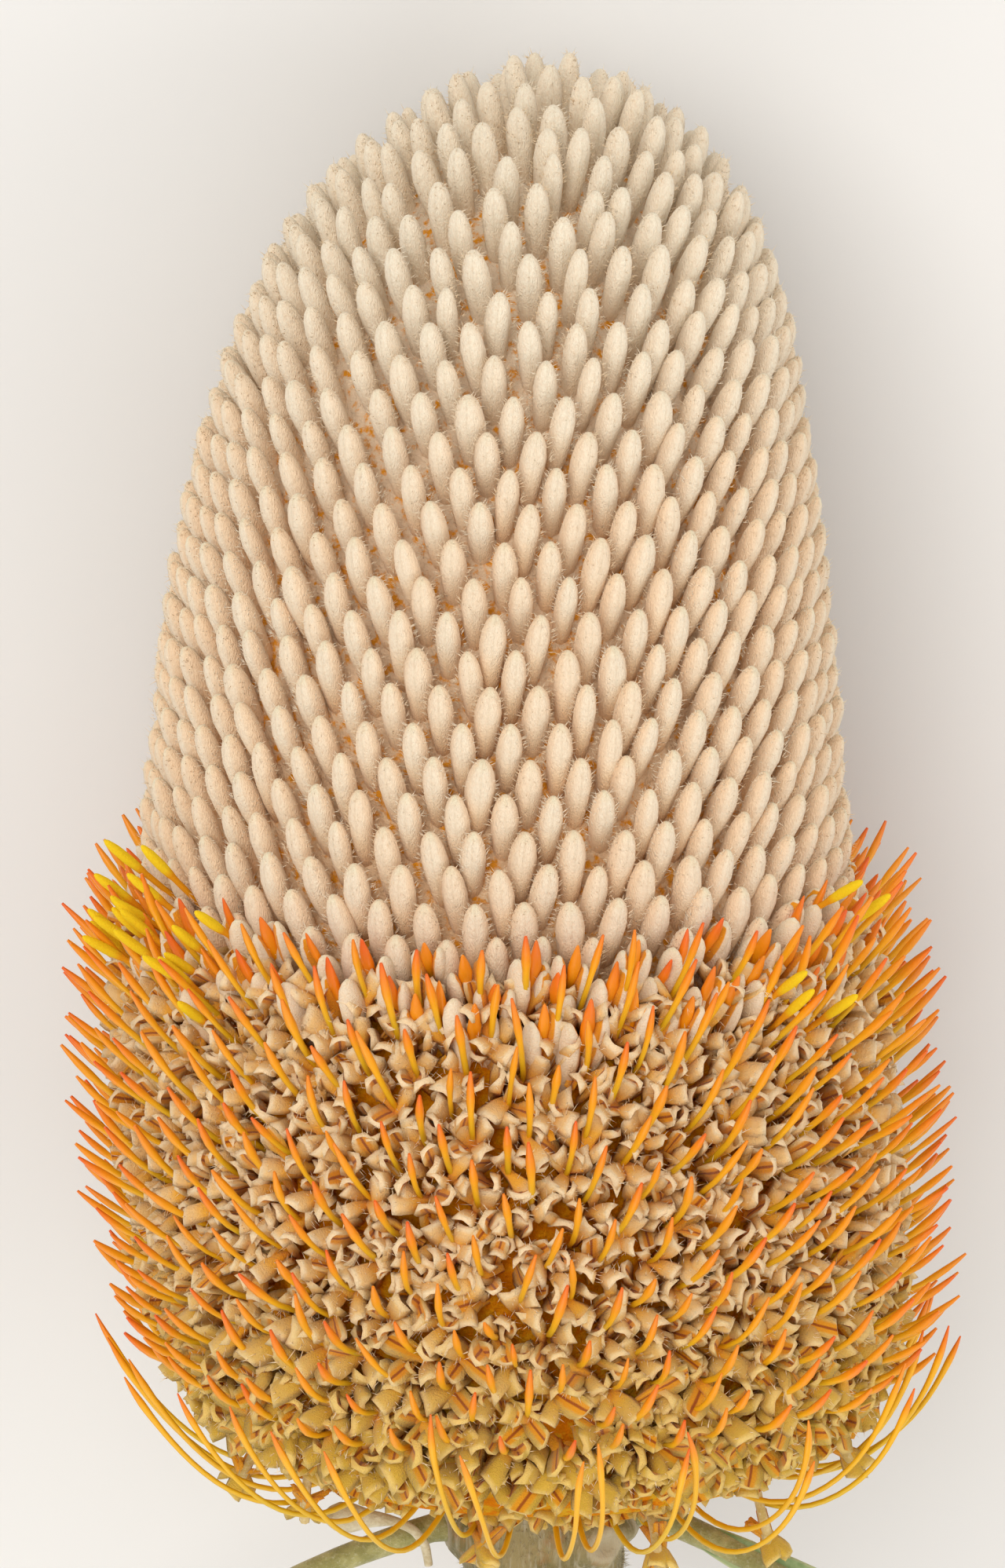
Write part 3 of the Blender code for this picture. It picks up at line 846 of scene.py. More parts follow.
class Scatter(GrowthTree):
    """Sets copies of small pieces on points, each with its own turn and size."""

    def __init__(self) -> None:
        """Builds the tree."""
        super().__init__("scatter")
        self.option("Pieces", "NodeSocketCollection")
        self.option("Size", "NodeSocketFloat")
        self.option("Size Spread", "NodeSocketFloat")
        self.option("Lean Spread", "NodeSocketFloat")
        self.option("Seed", "NodeSocketInt")
        self.option("Finish", "NodeSocketMaterial")
        given = self.node("NodeGroupInput").outputs
        pieces = self.node("GeometryNodeCollectionInfo", {
            "Collection": given["Pieces"], "Separate Children": True, "Reset Children": True,
        })
        size = self.node("FunctionNodeRandomValue", {
            2: self.maths("SUBTRACT", 1.0, given["Size Spread"]),
            3: self.maths("ADD", 1.0, given["Size Spread"]),
            "Seed": given["Seed"],
        }, data_type="FLOAT")
        scaled = self.node("ShaderNodeVectorMath", {
            0: self.stored("grow", "FLOAT_VECTOR"),
            "Scale": self.maths("MULTIPLY", size.outputs[1], given["Size"]),
        }, operation="SCALE")
        lean = self.node("FunctionNodeRandomValue", {
            0: self.maths("MULTIPLY", given["Lean Spread"], -1.0), 1: given["Lean Spread"],
            "Seed": given["Seed"],
        }, data_type="FLOAT_VECTOR")
        euler = self.node("FunctionNodeEulerToRotation", {0: lean.outputs[0]})
        turned = self.node("FunctionNodeRotateRotation", {
            0: self.stored("turn", "QUATERNION"), 1: euler.outputs[0],
        }, rotation_space="LOCAL")
        placed = self.node("GeometryNodeInstanceOnPoints", {
            "Points": given["Geometry"], "Instance": pieces.outputs[0], "Pick Instance": True,
            "Instance Index": self.stored("pick", "INT"), "Rotation": turned.outputs[0],
            "Scale": scaled.outputs[0],
        })
        self.finish(placed.outputs[0], given["Finish"])

    def plant(
        self, name: str, spots: "Spots", pieces: Sequence[bpy.types.Object],
        finish: bpy.types.Material, seed: int, size: float = 1.0, size_spread: float = 0.06,
        lean_spread: float = 0.06,
    ) -> bpy.types.Object:
        """Plants copies of pieces on spots.

        Args:
            name: Name of the grown piece.
            spots: Where the copies stand and how they are turned.
            pieces: The copies to choose from.
            finish: Material of all the copies.
            seed: Seed of the sizes and leans.
            size: Size of every copy against its model.
            size_spread: Share by which sizes differ.
            lean_spread: Radians by which turns differ.

        Returns:
            The grown piece as a plain mesh.
        """
        stock = bpy.data.collections.new(name + "_stock")
        for piece in pieces:
            stock.objects.link(piece)
        grown = self.grow(spots.as_object(name, len(pieces)), {
            "Pieces": stock, "Size": size, "Size Spread": size_spread,
            "Lean Spread": lean_spread, "Seed": seed, "Finish": finish,
        })
        bpy.data.collections.remove(stock)
        return grown


class Strands(GrowthTree):
    """Draws round tapering strands along chains of points."""

    def __init__(self) -> None:
        """Builds the tree."""
        super().__init__("strands")
        self.option("Sides", "NodeSocketInt")
        self.option("Finish", "NodeSocketMaterial")
        given = self.node("NodeGroupInput").outputs
        lines = self.node("GeometryNodeMeshToCurve", {"Mesh": given["Geometry"]})
        ring = self.node("GeometryNodeCurvePrimitiveCircle", {
            "Resolution": given["Sides"], "Radius": 1.0,
        })
        tubes = self.node("GeometryNodeCurveToMesh", {
            "Curve": lines.outputs[0], "Profile Curve": ring.outputs[0],
            "Scale": self.stored("girth", "FLOAT"), "Fill Caps": True,
        })
        self.finish(tubes.outputs[0], given["Finish"])

    def draw(
        self, name: str, lines: np.ndarray, girths: np.ndarray, tones: np.ndarray, sides: int,
        finish: bpy.types.Material,
    ) -> bpy.types.Object:
        """Draws strands.

        Args:
            name: Name of the grown piece.
            lines: Strands by points by three, in the flower's frame, from foot to tip.
            girths: Radius at each point, strands by points.
            tones: One number for each strand.
            sides: Sides of each strand.
            finish: Material of the strands.

        Returns:
            The grown piece as a plain mesh.
        """
        count, length, _ = lines.shape
        mesh = bpy.data.meshes.new(name)
        edges = [
            (k * length + i, k * length + i + 1) for k in range(count) for i in range(length - 1)
        ]
        mesh.from_pydata(FLOWER.points(lines.reshape(-1, 3)).tolist(), edges, [])
        along = np.tile(np.linspace(0.0, 1.0, length), count)
        store_facts(mesh, {
            "girth": girths.reshape(-1), "along": along, "tone": np.repeat(tones, length),
        })
        grown = self.grow(linked(name, mesh), {"Sides": sides, "Finish": finish})
        grown.data.shade_smooth()
        return grown


@dataclass
class Spots:
    """Places for repeats, with a turn, a stretch and values for the material at each."""

    points: np.ndarray
    forward: np.ndarray
    face: np.ndarray
    stretch: np.ndarray
    facts: Facts = field(default_factory=dict)
    seed: int = 1

    def as_object(self, name: str, choices: int) -> bpy.types.Object:
        """Points object that the scatter tree reads.

        Args:
            name: Name of the object.
            choices: Number of pieces to choose from.

        Returns:
            The object, linked to the scene.
        """
        draw = np.random.default_rng(self.seed)
        mesh = bpy.data.meshes.new(name)
        mesh.from_pydata(FLOWER.points(self.points).tolist(), [], [])
        turn = mesh.attributes.new("turn", "QUATERNION", "POINT")
        turns = quaternions(self.forward, self.face)
        turn.data.foreach_set("value", turns.astype(np.float32).ravel())
        grow = mesh.attributes.new("grow", "FLOAT_VECTOR", "POINT")
        grow.data.foreach_set("vector", self.stretch.astype(np.float32).ravel())
        pick = mesh.attributes.new("pick", "INT", "POINT")
        pick.data.foreach_set("value", draw.integers(0, choices, len(self.points)).astype(np.int32))
        store_facts(mesh, self.facts)
        return linked(name, mesh)


def shown(piece: bpy.types.Object, slot: str, *nodes: str) -> bpy.types.Object:
    """Keeps a finished piece above the table, hangs it on the root body, hides the solids that it
    stands for and logs its triangles.

    Args:
        piece: The finished piece.
        slot: Not used.
        nodes: Solids that the piece stands for.

    Returns:
        The same piece.
    """
    count = len(piece.data.vertices)
    co = np.zeros(count * 3, dtype=np.float32)
    piece.data.vertices.foreach_get("co", co)
    heights = co[2::3]
    heights[heights < TABLE_GAP] = TABLE_GAP
    piece.data.vertices.foreach_set("co", co)
    piece.data.update()
    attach(piece, "root")
    if nodes:
        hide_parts(*nodes)
    piece.data.calc_loop_triangles()
    LOG.info("%s: %d triangles", piece.name, len(piece.data.loop_triangles))
    return piece


def needles(roots: np.ndarray, tips: np.ndarray, width: float) -> tuple[np.ndarray, list]:
    """Closed three-sided hairs.

    Args:
        roots: Foot of each hair.
        tips: End of each hair.
        width: Width at the foot.

    Returns:
        Points and faces.
    """
    count = len(roots)
    forward = unit(tips - roots)
    helper = np.where(np.abs(forward[:, 2:3]) > 0.9, [[1.0, 0.0, 0.0]], [[0.0, 0.0, 1.0]])
    side = unit(np.cross(forward, helper))
    other = np.cross(forward, side)
    corners = []
    for k in range(3):
        turn = TAU * k / 3.0
        corners.append(roots + (side * math.cos(turn) + other * math.sin(turn)) * width / 2.0)
    points = np.stack([*corners, tips], axis=1).reshape(-1, 3)
    faces = []
    for k in range(count):
        a, b, c, d = 4 * k, 4 * k + 1, 4 * k + 2, 4 * k + 3
        faces += [(a, b, d), (b, c, d), (c, a, d), (c, b, a)]
    return points, faces


def finer(lines: np.ndarray, girths: np.ndarray, count: int) -> tuple[np.ndarray, np.ndarray]:
    """Strands with more points and rounded bends.

    Args:
        lines: Strands by points by three.
        girths: Radius at each point, strands by points.
        count: New number of points in each strand.

    Returns:
        The finer strands and their girths.
    """
    steps = lines.shape[1]
    at = np.linspace(0.0, steps - 1.0, count)
    low = np.minimum(at.astype(int), steps - 2)
    part = at - low
    dense = lines[:, low] * (1.0 - part)[:, None] + lines[:, low + 1] * part[:, None]
    for _ in range(4):
        dense[:, 1:-1] = (dense[:, :-2] + 2.0 * dense[:, 1:-1] + dense[:, 2:]) / 4.0
    return dense, girths[:, low] * (1.0 - part) + girths[:, low + 1] * part


def resampled(line: np.ndarray, at: np.ndarray) -> np.ndarray:
    """Points on a line of points, at places counted in its steps."""
    steps = np.arange(len(line))
    return np.stack([np.interp(at, steps, line[:, axis]) for axis in range(3)], axis=-1)


# The closed buds


@dataclass
class ClosedBuds:
    """The dome of unopened buds, their silk and the bed that they stand in."""

    pitch: float = 4.4
    row: float = 3.2
    twist: float = math.radians(0.39)
    low: float = 58.4
    top: float = 133.2
    lean: float = math.radians(19.0)
    sides: int = 8
    hairs: int = 60
    hair_length: float = 0.70
    hair_width: float = 0.085
    inward: float = 1.5
    bed_foot: float = 49.9
    bed_top: float = 126.0
    bed_depth: float = 2.9
    tip_lift: float = 6.0
    profile: tuple[tuple[float, float], ...] = (
        (0.12, 0.36), (0.6, 0.74), (1.4, 1.02), (2.7, 1.20), (4.4, 1.14), (6.4, 0.98), (9.0, 0.68),
    )

    def lattice(self) -> tuple[np.ndarray, np.ndarray, np.ndarray]:
        """Angles, heights and radii of the bud tips.

        Returns:
            Angles, heights and radii, one per bud.
        """
        draw = np.random.default_rng(21)
        angles, heights, radii = [], [], []
        along, ring = self.low, 0
        while along < self.top:
            radius = float(HEAD.tip_radius(along))
            count = max(1, round(TAU * radius / self.pitch))
            loose = float(ease(along, 100.0, 128.0))
            start = 0.5 * (ring % 2) * TAU / count + ring * self.twist
            for step in range(count):
                swing = draw.normal(0.0, 0.03 + 0.10 * loose) * TAU / count
                angles.append(start + step * TAU / count + swing)
                heights.append(along + draw.normal(0.0, 0.12 + 0.2 * loose))
                radii.append(radius)
            ahead = float(HEAD.tip_radius(along + 0.5))
            slope = (radius - ahead) / 0.5
            along += self.row / math.sqrt(1.0 + slope * slope)
            ring += 1
        heights = np.minimum(np.array(heights), self.top)
        return np.array(angles), heights, np.array(radii) + draw.normal(0.0, 0.18, len(radii))

    def spots(self) -> Spots:
        """Places of all the buds, leaning out from the axis.

        Returns:
            The places, with `tone` and `rise` values.
        """
        angle, along, radius = self.lattice()
        out = outward(angle)
        lean = self.lean * np.clip(radius / 24.0, 0.0, 1.0)
        forward = between(AXIS, out, lean)
        draw = np.random.default_rng(22)
        stretch = np.ones((len(angle), 3))
        stretch[:, :2] *= draw.normal(1.0, 0.05, (len(angle), 1))
        face = out + AXIS * 0.001
        return Spots(
            HEAD.places(angle, along, radius), forward, face, stretch,
            {"tone": draw.uniform(0.0, 1.0, len(angle)), "rise": ease(along, 84.0, 128.0)}, 23,
        )

    def model(self, name: str, seed: int) -> bpy.types.Object:
        """One bud: local Z up the bud, local Y outwards, its tip at the origin.

        Args:
            name: Name of the model.
            seed: Seed of its small differences.

        Returns:
            The bud as an object.
        """
        draw = np.random.default_rng(seed)
        tilt = draw.uniform(-0.05, 0.05)
        turn = np.arange(self.sides) / self.sides * TAU
        rings, along, seam = [], [], []
        length = self.profile[-1][0]
        for down, half in self.profile:
            share = down / length
            centre = np.array([tilt * down, -self.inward * share**2, -down])
            wide = half * (1.0 + 0.03 * np.sin(2.0 * turn + seed))
            ring = centre + np.stack(
                [wide * np.cos(turn), 0.94 * wide * np.sin(turn), np.zeros(self.sides)], axis=-1
            )
            rings.append(ring)
            along.append(np.full(self.sides, share))
            seam.append(np.where(np.arange(self.sides) == self.sides // 4, 1.0, 0.0))
        flank = np.tile(np.abs(np.cos(turn)), (len(self.profile), 1))
        points, faces, facts = loft(
            np.array(rings) * MM,
            {"along": np.array(along), "seam": np.array(seam), "flank": flank},
            {"along": (0.0, 1.0), "seam": (0.0, 0.0), "flank": (0.3, 0.5)},
            np.array([0.0, 0.0, 0.0]), rings[-1].mean(axis=0) * MM,
        )
        return mesh_object(name, points, faces, facts)

    def silk_model(self, name: str, seed: int) -> bpy.types.Object:
        """Hairs of one bud, on the side and the length that show.

        Args:
            name: Name of the model.
            seed: Seed of its small differences.

        Returns:
            The hairs as an object.
        """
        draw = np.random.default_rng(seed)
        downs = np.array([d for d, _ in self.profile])
        halves = np.array([h for _, h in self.profile])
        length = downs[-1]
        down = 0.05 + 6.0 * draw.uniform(0.0, 1.0, self.hairs)
        half = np.interp(down, downs, halves) * 0.93
        flank = np.where(draw.uniform(0.0, 1.0, self.hairs) < 0.5, 0.0, math.pi)
        turn = flank + draw.normal(0.0, 0.32, self.hairs)
        loose = self.hairs // 4
        turn[:loose] = draw.uniform(0.1, math.pi - 0.1, loose)
        out = np.stack([np.cos(turn), np.sin(turn), np.zeros(self.hairs)], axis=-1)
        centre = np.stack(
            [np.zeros(self.hairs), -self.inward * (down / length) ** 2, -down], axis=-1
        )
        roots = centre + out * half[:, None]
        up = np.array([0.0, 0.0, 1.0])
        lift = draw.uniform(0.35, 0.95, (self.hairs, 1))
        forward = unit(out * lift + up * (1.15 - lift) + draw.normal(0.0, 0.15, (self.hairs, 3)))
        size = self.hair_length * draw.uniform(0.6, 1.25, (self.hairs, 1))
        points, faces = needles(roots * MM, (roots + forward * size) * MM, self.hair_width * MM)
        return mesh_object(name, points, faces, {}, tidy=False)

    def bed(self, finish: bpy.types.Material) -> bpy.types.Object:
        """Woolly middle that shows between the buds.

        Args:
            finish: Material of the piece.

        Returns:
            The piece as an object.
        """
        heights = np.concatenate([[self.bed_foot], np.linspace(50.0, 124.0, 37)])
        tips = HEAD.tip_radius(heights + self.tip_lift)
        radii = np.maximum(tips - self.bed_depth, tips * 0.5)
        shares = np.linspace(0.0, 1.0, len(heights))
        return bed_skin("bud_bed", heights, radii, (self.bed_foot, self.bed_top), shares, finish)

    def build(self, scatter: Scatter) -> None:
        """Args:
            scatter: Tree that plants the repeats.
        """
        spots = self.spots()
        LOG.info("closed buds: %d", len(spots.points))
        models = [self.model(f"bud_{k}", k + 3) for k in range(4)]
        buds = scatter.plant("bud_heads", spots, models, BudWool().material(), 31)
        shown(buds, "bud_wool", "closed_buds")
        hair = Silk().material()
        half = len(spots.points) // 2
        for number, rows in enumerate((slice(0, half), slice(half, None))):
            part = Spots(
                spots.points[rows], spots.forward[rows], spots.face[rows], spots.stretch[rows],
                {"tone": spots.facts["tone"][rows]}, 40 + number,
            )
            first = 50 + 10 * number
            tufts = [self.silk_model(f"silk_{number}_{k}", first + k) for k in range(5)]
            shown(scatter.plant(f"bud_silk_{number}", part, tufts, hair, 61), "bud_wool")
            discard(tufts)
        discard(models)
        bed = BedFinish(
            "bud bed", low=(0.98, 0.66, 0.38), high=(0.98, 0.80, 0.60), dark=(0.94, 0.38, 0.03),
            dark_from=0.36, dark_to=0.52,
        )
        shown(self.bed(bed.material()), "bud_wool")


def discard(objects: Iterable[bpy.types.Object]) -> None:
    """Removes models that repeats were made from.

    Args:
        objects: Models that no piece uses any more.
    """
    for obj in objects:
        mesh = obj.data
        bpy.data.objects.remove(obj)
        bpy.data.meshes.remove(mesh)


# The open florets


class LobeKind(Enum):
    """Shapes of a floret's lobe: how far its tip bends back and how far it slants sideways."""

    STRAIGHT = (0.0, 0.26)
    HOOKED = (0.20, -0.28)
    CURLED = (0.45, 0.08)


@dataclass
class OpenFlorets:
    """The band of split florets with their styles."""

    columns: int = 44
    rows: int = 16
    low: float = 7.6
    high: float = 53.0
    up_turn: float = math.radians(42.0)
    down_turn: float = math.radians(-28.0)
    style_lean: float = math.radians(47.0)
    style_sides: int = 6
    first_style: float = 8.0
    low_style_count: int = 40
    under_count: int = 520
    filler_count: int = 2000
    wool_hairs: int = 8
    hair_width: float = 0.08

    def lattice(self) -> tuple[np.ndarray, np.ndarray]:
        """Angles and heights of the florets.

        Returns:
            Angles and heights, one per floret.
        """
        draw = np.random.default_rng(71)
        angles, heights = [], []
        for row in range(self.rows):
            along = self.low + (self.high - self.low) * row / (self.rows - 1)
            start = (row % 2) * 0.5
            for step in range(self.columns):
                angles.append((step + start + draw.normal(0.0, 0.10)) * TAU / self.columns)
                heights.append(along + draw.normal(0.0, 0.35))
        return np.array(angles), np.array(heights)

    def turn_at(self, along: np.ndarray) -> np.ndarray:
        """How far a floret points up or down at a height."""
        share = np.clip((along - self.low) / (self.high - self.low), 0.0, 1.0)
        return self.down_turn + (self.up_turn - self.down_turn) * share**0.6

    def age_at(self, along: np.ndarray) -> np.ndarray:
        """1 for the oldest florets at the foot of the band and 0 for the young ones above."""
        return 1.0 - ease(along, 9.0, 32.0)

    def lobe_model(self, name: str, kind: LobeKind, seed: int) -> bpy.types.Object:
        """One lobe: local Z towards its tip, local Y on its woolly side.

        Args:
            name: Name of the model.
            kind: Shape of the lobe.
            seed: Seed of its small differences.

        Returns:
            The lobe as an object.
        """
        draw = np.random.default_rng(seed)
        bend, slant = kind.value
        stations = (
            # place along, half width, thickness
            (-3.4, 0.46, 0.40), (-1.4, 0.58, 0.60), (-0.3, 0.92, 0.92), (0.8, 1.02, 0.86),
            (1.45, 0.84, 0.66),
        )
        tip = stations[-1][0]
        length = tip - stations[0][0]
        rings, along, inside, across = [], [], [], []
        for place, half, thick in stations:
            half = half * draw.uniform(0.92, 1.08)
            lift = 0.34 * bend * (max(place, 0.0) ** 1.5) - 0.02 * min(place, 0.0) ** 2
            shear = slant * max(place, 0.0)
            section = (
                (-half, 0.0), (-0.62 * half, thick), (0.62 * half, thick), (half, 0.0),
                (0.26 * half, 0.36 * thick), (-0.26 * half, 0.36 * thick),
            )
            rings.append([[x, y + lift - 0.5 * thick, place + shear * x] for x, y in section])
            along.append([(tip - place) / length] * len(section))
            inside.append([0.35, 0.0, 0.0, 0.35, 1.0, 1.0])
            across.append([-1.0, -1.0, 1.0, 1.0, 0.55, -0.55])
        rings = np.array(rings)
        points, faces, facts = loft(
            rings * MM,
            {"along": np.array(along), "inside": np.array(inside), "across": np.array(across)},
            {"along": (1.0, 0.0), "inside": (0.0, 0.2), "across": (1.0, 1.0)},
            rings[0].mean(axis=0) * MM, (rings[-1].mean(axis=0) + [0.0, 0.0, 0.05]) * MM,
        )
        return mesh_object(name, points, faces, facts)

    def wool_model(self, name: str, seed: int) -> bpy.types.Object:
        """Hairs on the woolly side of a lobe.

        Args:
            name: Name of the model.
            seed: Seed of its small differences.

        Returns:
            The hairs as an object.
        """
        draw = np.random.default_rng(seed)
        hairs = self.wool_hairs
        place = draw.uniform(-0.9, 1.6, hairs)
        half = np.interp(place, [-0.9, -0.3, 0.8, 1.6], [0.6, 0.9, 0.95, 0.7])
        x = draw.uniform(-1.0, 1.0, hairs) * half
        y = 0.40 * (1.0 - np.minimum(np.abs(x), 1.0) ** 3)
        roots = np.stack([x, y, place], axis=-1)
        out = np.stack([x * 0.9, np.full(hairs, 0.55), 0.25 + 0.35 * place], axis=-1)
        forward = unit(out + draw.normal(0.0, 0.25, (hairs, 3)))
        size = draw.uniform(0.45, 1.0, (hairs, 1))
        points, faces = needles(roots * MM, (roots + forward * size) * MM, self.hair_width * MM)
        return mesh_object(name, points, faces, {}, tidy=False)

    def lobe_spots(self) -> Spots:
        """Places of the four lobes of every floret.

        Returns:
            The places, with `low` values.
        """
        draw = np.random.default_rng(81)
        angle, along = self.lattice()
        turn = self.turn_at(along) + draw.normal(0.0, 0.10, len(along))
        centre = HEAD.places(angle, along, HEAD.face_radius(along))
        out = outward(angle)
        forward = between(out, AXIS, turn)
        right = unit(np.cross(forward, AXIS))
        up = np.cross(right, forward)
        age = self.age_at(along)
        points, ahead, face, grow, low = [], [], [], [], []
        for lobe in range(4):
            spin = (lobe + 0.5) * TAU / 4.0 + draw.normal(0.0, 0.22, len(along))
            away = between(right, up, spin)
            splay = np.radians(draw.normal(27.0, 13.0, len(along)) + 22.0 * age)
            tip = between(forward, away, splay)
            back = between(away, -forward, splay)
            cream = draw.uniform(0.0, 1.0, len(along)) < 0.92 - 0.42 * age
            side = np.where(cream, -1.0, 1.0)[:, None] * back
            side = between(side, np.cross(tip, side), draw.normal(0.0, 0.30, len(along)))
            spread = draw.normal(1.35, 0.25, (len(along), 1)) * MM
            depth = draw.normal(-0.6, 0.45, (len(along), 1)) * MM
            points.append(centre + away * spread + forward * depth)
            ahead.append(tip)
            face.append(side)
            size = draw.normal(1.04, 0.12, (len(along), 1)) * (1.0 + 0.12 * age[:, None])
            grow.append(np.repeat(size, 3, axis=1))
            low.append(age)
        facts = {"low": np.concatenate(low)}
        return Spots(*(np.concatenate(rows) for rows in (points, ahead, face, grow)), facts, 82)

    def under_spots(self) -> Spots:
        """Places of the limp lobes that cover the underside round the stem.

        Returns:
            The places, with `low` values.
        """
        draw = np.random.default_rng(87)
        count = self.under_count
        share = draw.uniform(0.0, 1.0, count)
        radius = 11.0 + 19.5 * np.sqrt(share)
        along = np.interp(radius, [11.0, 17.0, 22.0, 27.0, 30.5], [0.2, 1.0, 2.8, 5.6, 8.2])
        angle = draw.uniform(0.0, TAU, count)
        out = outward(angle)
        forward = out * (0.30 + 0.75 * share[:, None]) - AXIS * (0.85 - 0.35 * share[:, None])
        forward = unit(forward + draw.normal(0.0, 0.32, (count, 3)))
        spin = draw.uniform(0.0, TAU, count)
        right = unit(np.cross(forward, out + AXIS * 0.3))
        face = between(right, np.cross(right, forward), spin)
        place = HEAD.places(angle, along - draw.uniform(0.2, 1.0, count), radius)
        grow = np.repeat(draw.normal(1.0, 0.13, (count, 1)), 3, axis=1)
        return Spots(place, forward, face, grow, {"low": np.ones(count)}, 88)

    def filler_spots(self) -> Spots:
        """Places of the looser lobes that fill the gaps between the florets.

        Returns:
            The places, with `low` values.
        """
        draw = np.random.default_rng(85)
        count = self.filler_count
        angle = draw.uniform(0.0, TAU, count)
        along = draw.uniform(self.low - 1.5, self.high + 1.0, count)
        out = outward(angle)
        turn = self.turn_at(along) + draw.normal(0.0, 0.45, count)
        swing = draw.normal(0.0, 0.45, (count, 1))
        forward = unit(between(out, AXIS, turn) + np.cross(AXIS, out) * swing)
        spin = draw.uniform(0.0, TAU, count)
        right = unit(np.cross(forward, AXIS))
        face = between(right, np.cross(right, forward), spin)
        place = HEAD.places(angle, along, HEAD.face_radius(along) - draw.uniform(0.6, 2.2, count))
        grow = np.repeat(draw.normal(1.0, 0.12, (count, 1)), 3, axis=1)
        return Spots(place, forward, face, grow, {"low": self.age_at(along)}, 86)

    def styles(self, strands: Strands, finish: bpy.types.Material) -> bpy.types.Object:
        """One stiff style from every floret, bent up towards the tip of the head.

        Args:
            strands: Tree that draws the strands.
            finish: Material of the piece.

        Returns:
            The piece as an object.
        """
        draw = np.random.default_rng(91)
        angle, along = self.lattice()
        keep = along > self.first_style
        angle, along = angle[keep], along[keep]
        count = len(angle)
        turn = self.turn_at(along)
        face = HEAD.places(angle, along, HEAD.face_radius(along))
        out = outward(angle)
        ahead = between(out, AXIS, turn)
        lean = self.style_lean + np.radians(8.0) * ease(along, 40.0, 54.0)
        front = ease(np.cos(angle), 0.1, 0.9)
        lean = lean + np.radians(9.0) * front + draw.normal(0.0, 0.10, count)
        swing = draw.normal(0.0, 0.10, count)
        side = np.cross(AXIS, out)
        up = between(out, AXIS, lean) + side * swing[:, None]
        reach = (draw.normal(6.3, 0.8, (count, 1)) - 0.3 * front[:, None]) * MM
        foot = face - ahead * 4.0 * MM
        knee = face + ahead * (1.2 + 0.7 * front[:, None]) * MM
        tip = knee + unit(up) * reach
        shares = np.array([0.0, 0.30, 0.50, 0.64, 0.74, 0.84, 0.93, 1.0])
        lines = []
        for share in shares:
            first = foot * (1.0 - share) + knee * share
            second = knee * (1.0 - share) + tip * share
            lines.append(first * (1.0 - share) + second * share)
        lines = np.stack(lines, axis=1)
        girth = np.array([0.29, 0.28, 0.28, 0.30, 0.39, 0.35, 0.24, 0.13]) * MM
        girths = np.outer(draw.normal(1.0, 0.08, count), girth)
        tones = draw.uniform(0.0, 1.0, count)
        return strands.draw("styles", lines, girths, tones, self.style_sides, finish)

    def low_styles(self, strands: Strands, finish: bpy.types.Material) -> bpy.types.Object:
        """Long styles of the lowest florets, which leave the underside and sweep up.

        Args:
            strands: Tree that draws the strands.
            finish: Material of the piece.

        Returns:
            The piece as an object.
        """
        draw = np.random.default_rng(93)
        count = self.low_style_count
        angle = (np.arange(count) + draw.uniform(-0.35, 0.35, count)) * TAU / count
        path = np.array([
            # radius, height
            (17.0, 2.5), (22.5, -0.6), (27.5, -0.6), (32.0, 1.8), (35.4, 5.2), (37.6, 8.6),
            (38.8, 10.8), (39.5, 12.2), (40.0, 13.4),
        ])
        size = draw.normal(1.0, 0.035, (count, 1))
        drop = draw.normal(0.0, 1.0, (count, 1)) * np.linspace(0.4, 1.6, len(path))
        sway = draw.normal(0.0, 0.05, (count, 1)) * np.linspace(0.0, 1.0, len(path))
        lines = HEAD.places(angle[:, None] + sway, path[:, 1] + drop, path[:, 0] * size)
        girth = np.array([0.30, 0.28, 0.26, 0.25, 0.25, 0.28, 0.36, 0.24, 0.08]) * MM
        lines, girths = finer(lines, np.tile(girth, (count, 1)), 26)
        tones = draw.uniform(0.0, 1.0, count)
        return strands.draw("low_styles", lines, girths, tones, self.style_sides, finish)

    def pollen_styles(self, strands: Strands) -> bpy.types.Object:
        """Fresh styles near the upper edge whose ends still carry yellow pollen.

        Args:
            strands: Tree that draws the strands.

        Returns:
            The piece as an object.
        """
        draw = np.random.default_rng(95)
        angle = np.concatenate([draw.uniform(-1.45, -0.72, 19), draw.uniform(0.75, 1.2, 5)])
        along = draw.uniform(44.0, 57.5, len(angle))
        count = len(angle)
        face = HEAD.places(angle, along, HEAD.face_radius(along))
        out = outward(angle)
        up = between(out, AXIS, np.radians(draw.normal(52.0, 5.0, count)))
        foot = face - out * 3.0 * MM
        tip = face + up * draw.normal(7.2, 0.7, (count, 1)) * MM
        shares = np.array([0.0, 0.3, 0.52, 0.58, 0.72, 0.88, 0.97, 1.0])
        lines = np.stack([foot * (1.0 - share) + tip * share for share in shares], axis=1)
        girth = np.array([0.30, 0.28, 0.30, 0.40, 0.50, 0.46, 0.30, 0.14]) * MM
        girths = np.tile(girth, (count, 1))
        fresh = PollenFinish().material()
        return strands.draw("pollen_styles", lines, girths, np.zeros(count), 7, fresh)

    def bed(self, finish: bpy.types.Material) -> bpy.types.Object:
        """Woolly middle that shows between the florets.

        Args:
            finish: Material of the piece.

        Returns:
            The piece as an object.
        """
        heights = np.concatenate([[0.2, 0.6, 1.4], np.linspace(2.5, 58.0, 30)])
        radii = HEAD.face_radius(heights) - 2.3 - 0.7 * ease(heights, 10.0, 26.0)
        radii = radii - 2.6 * ease(heights, 46.0, 53.0)
        radii[:3] = 12.0, 17.0, 20.0
        shares = ease(heights, 8.0, 30.0)
        return bed_skin("floret_bed", heights, radii, (0.1, 58.1), shares, finish)

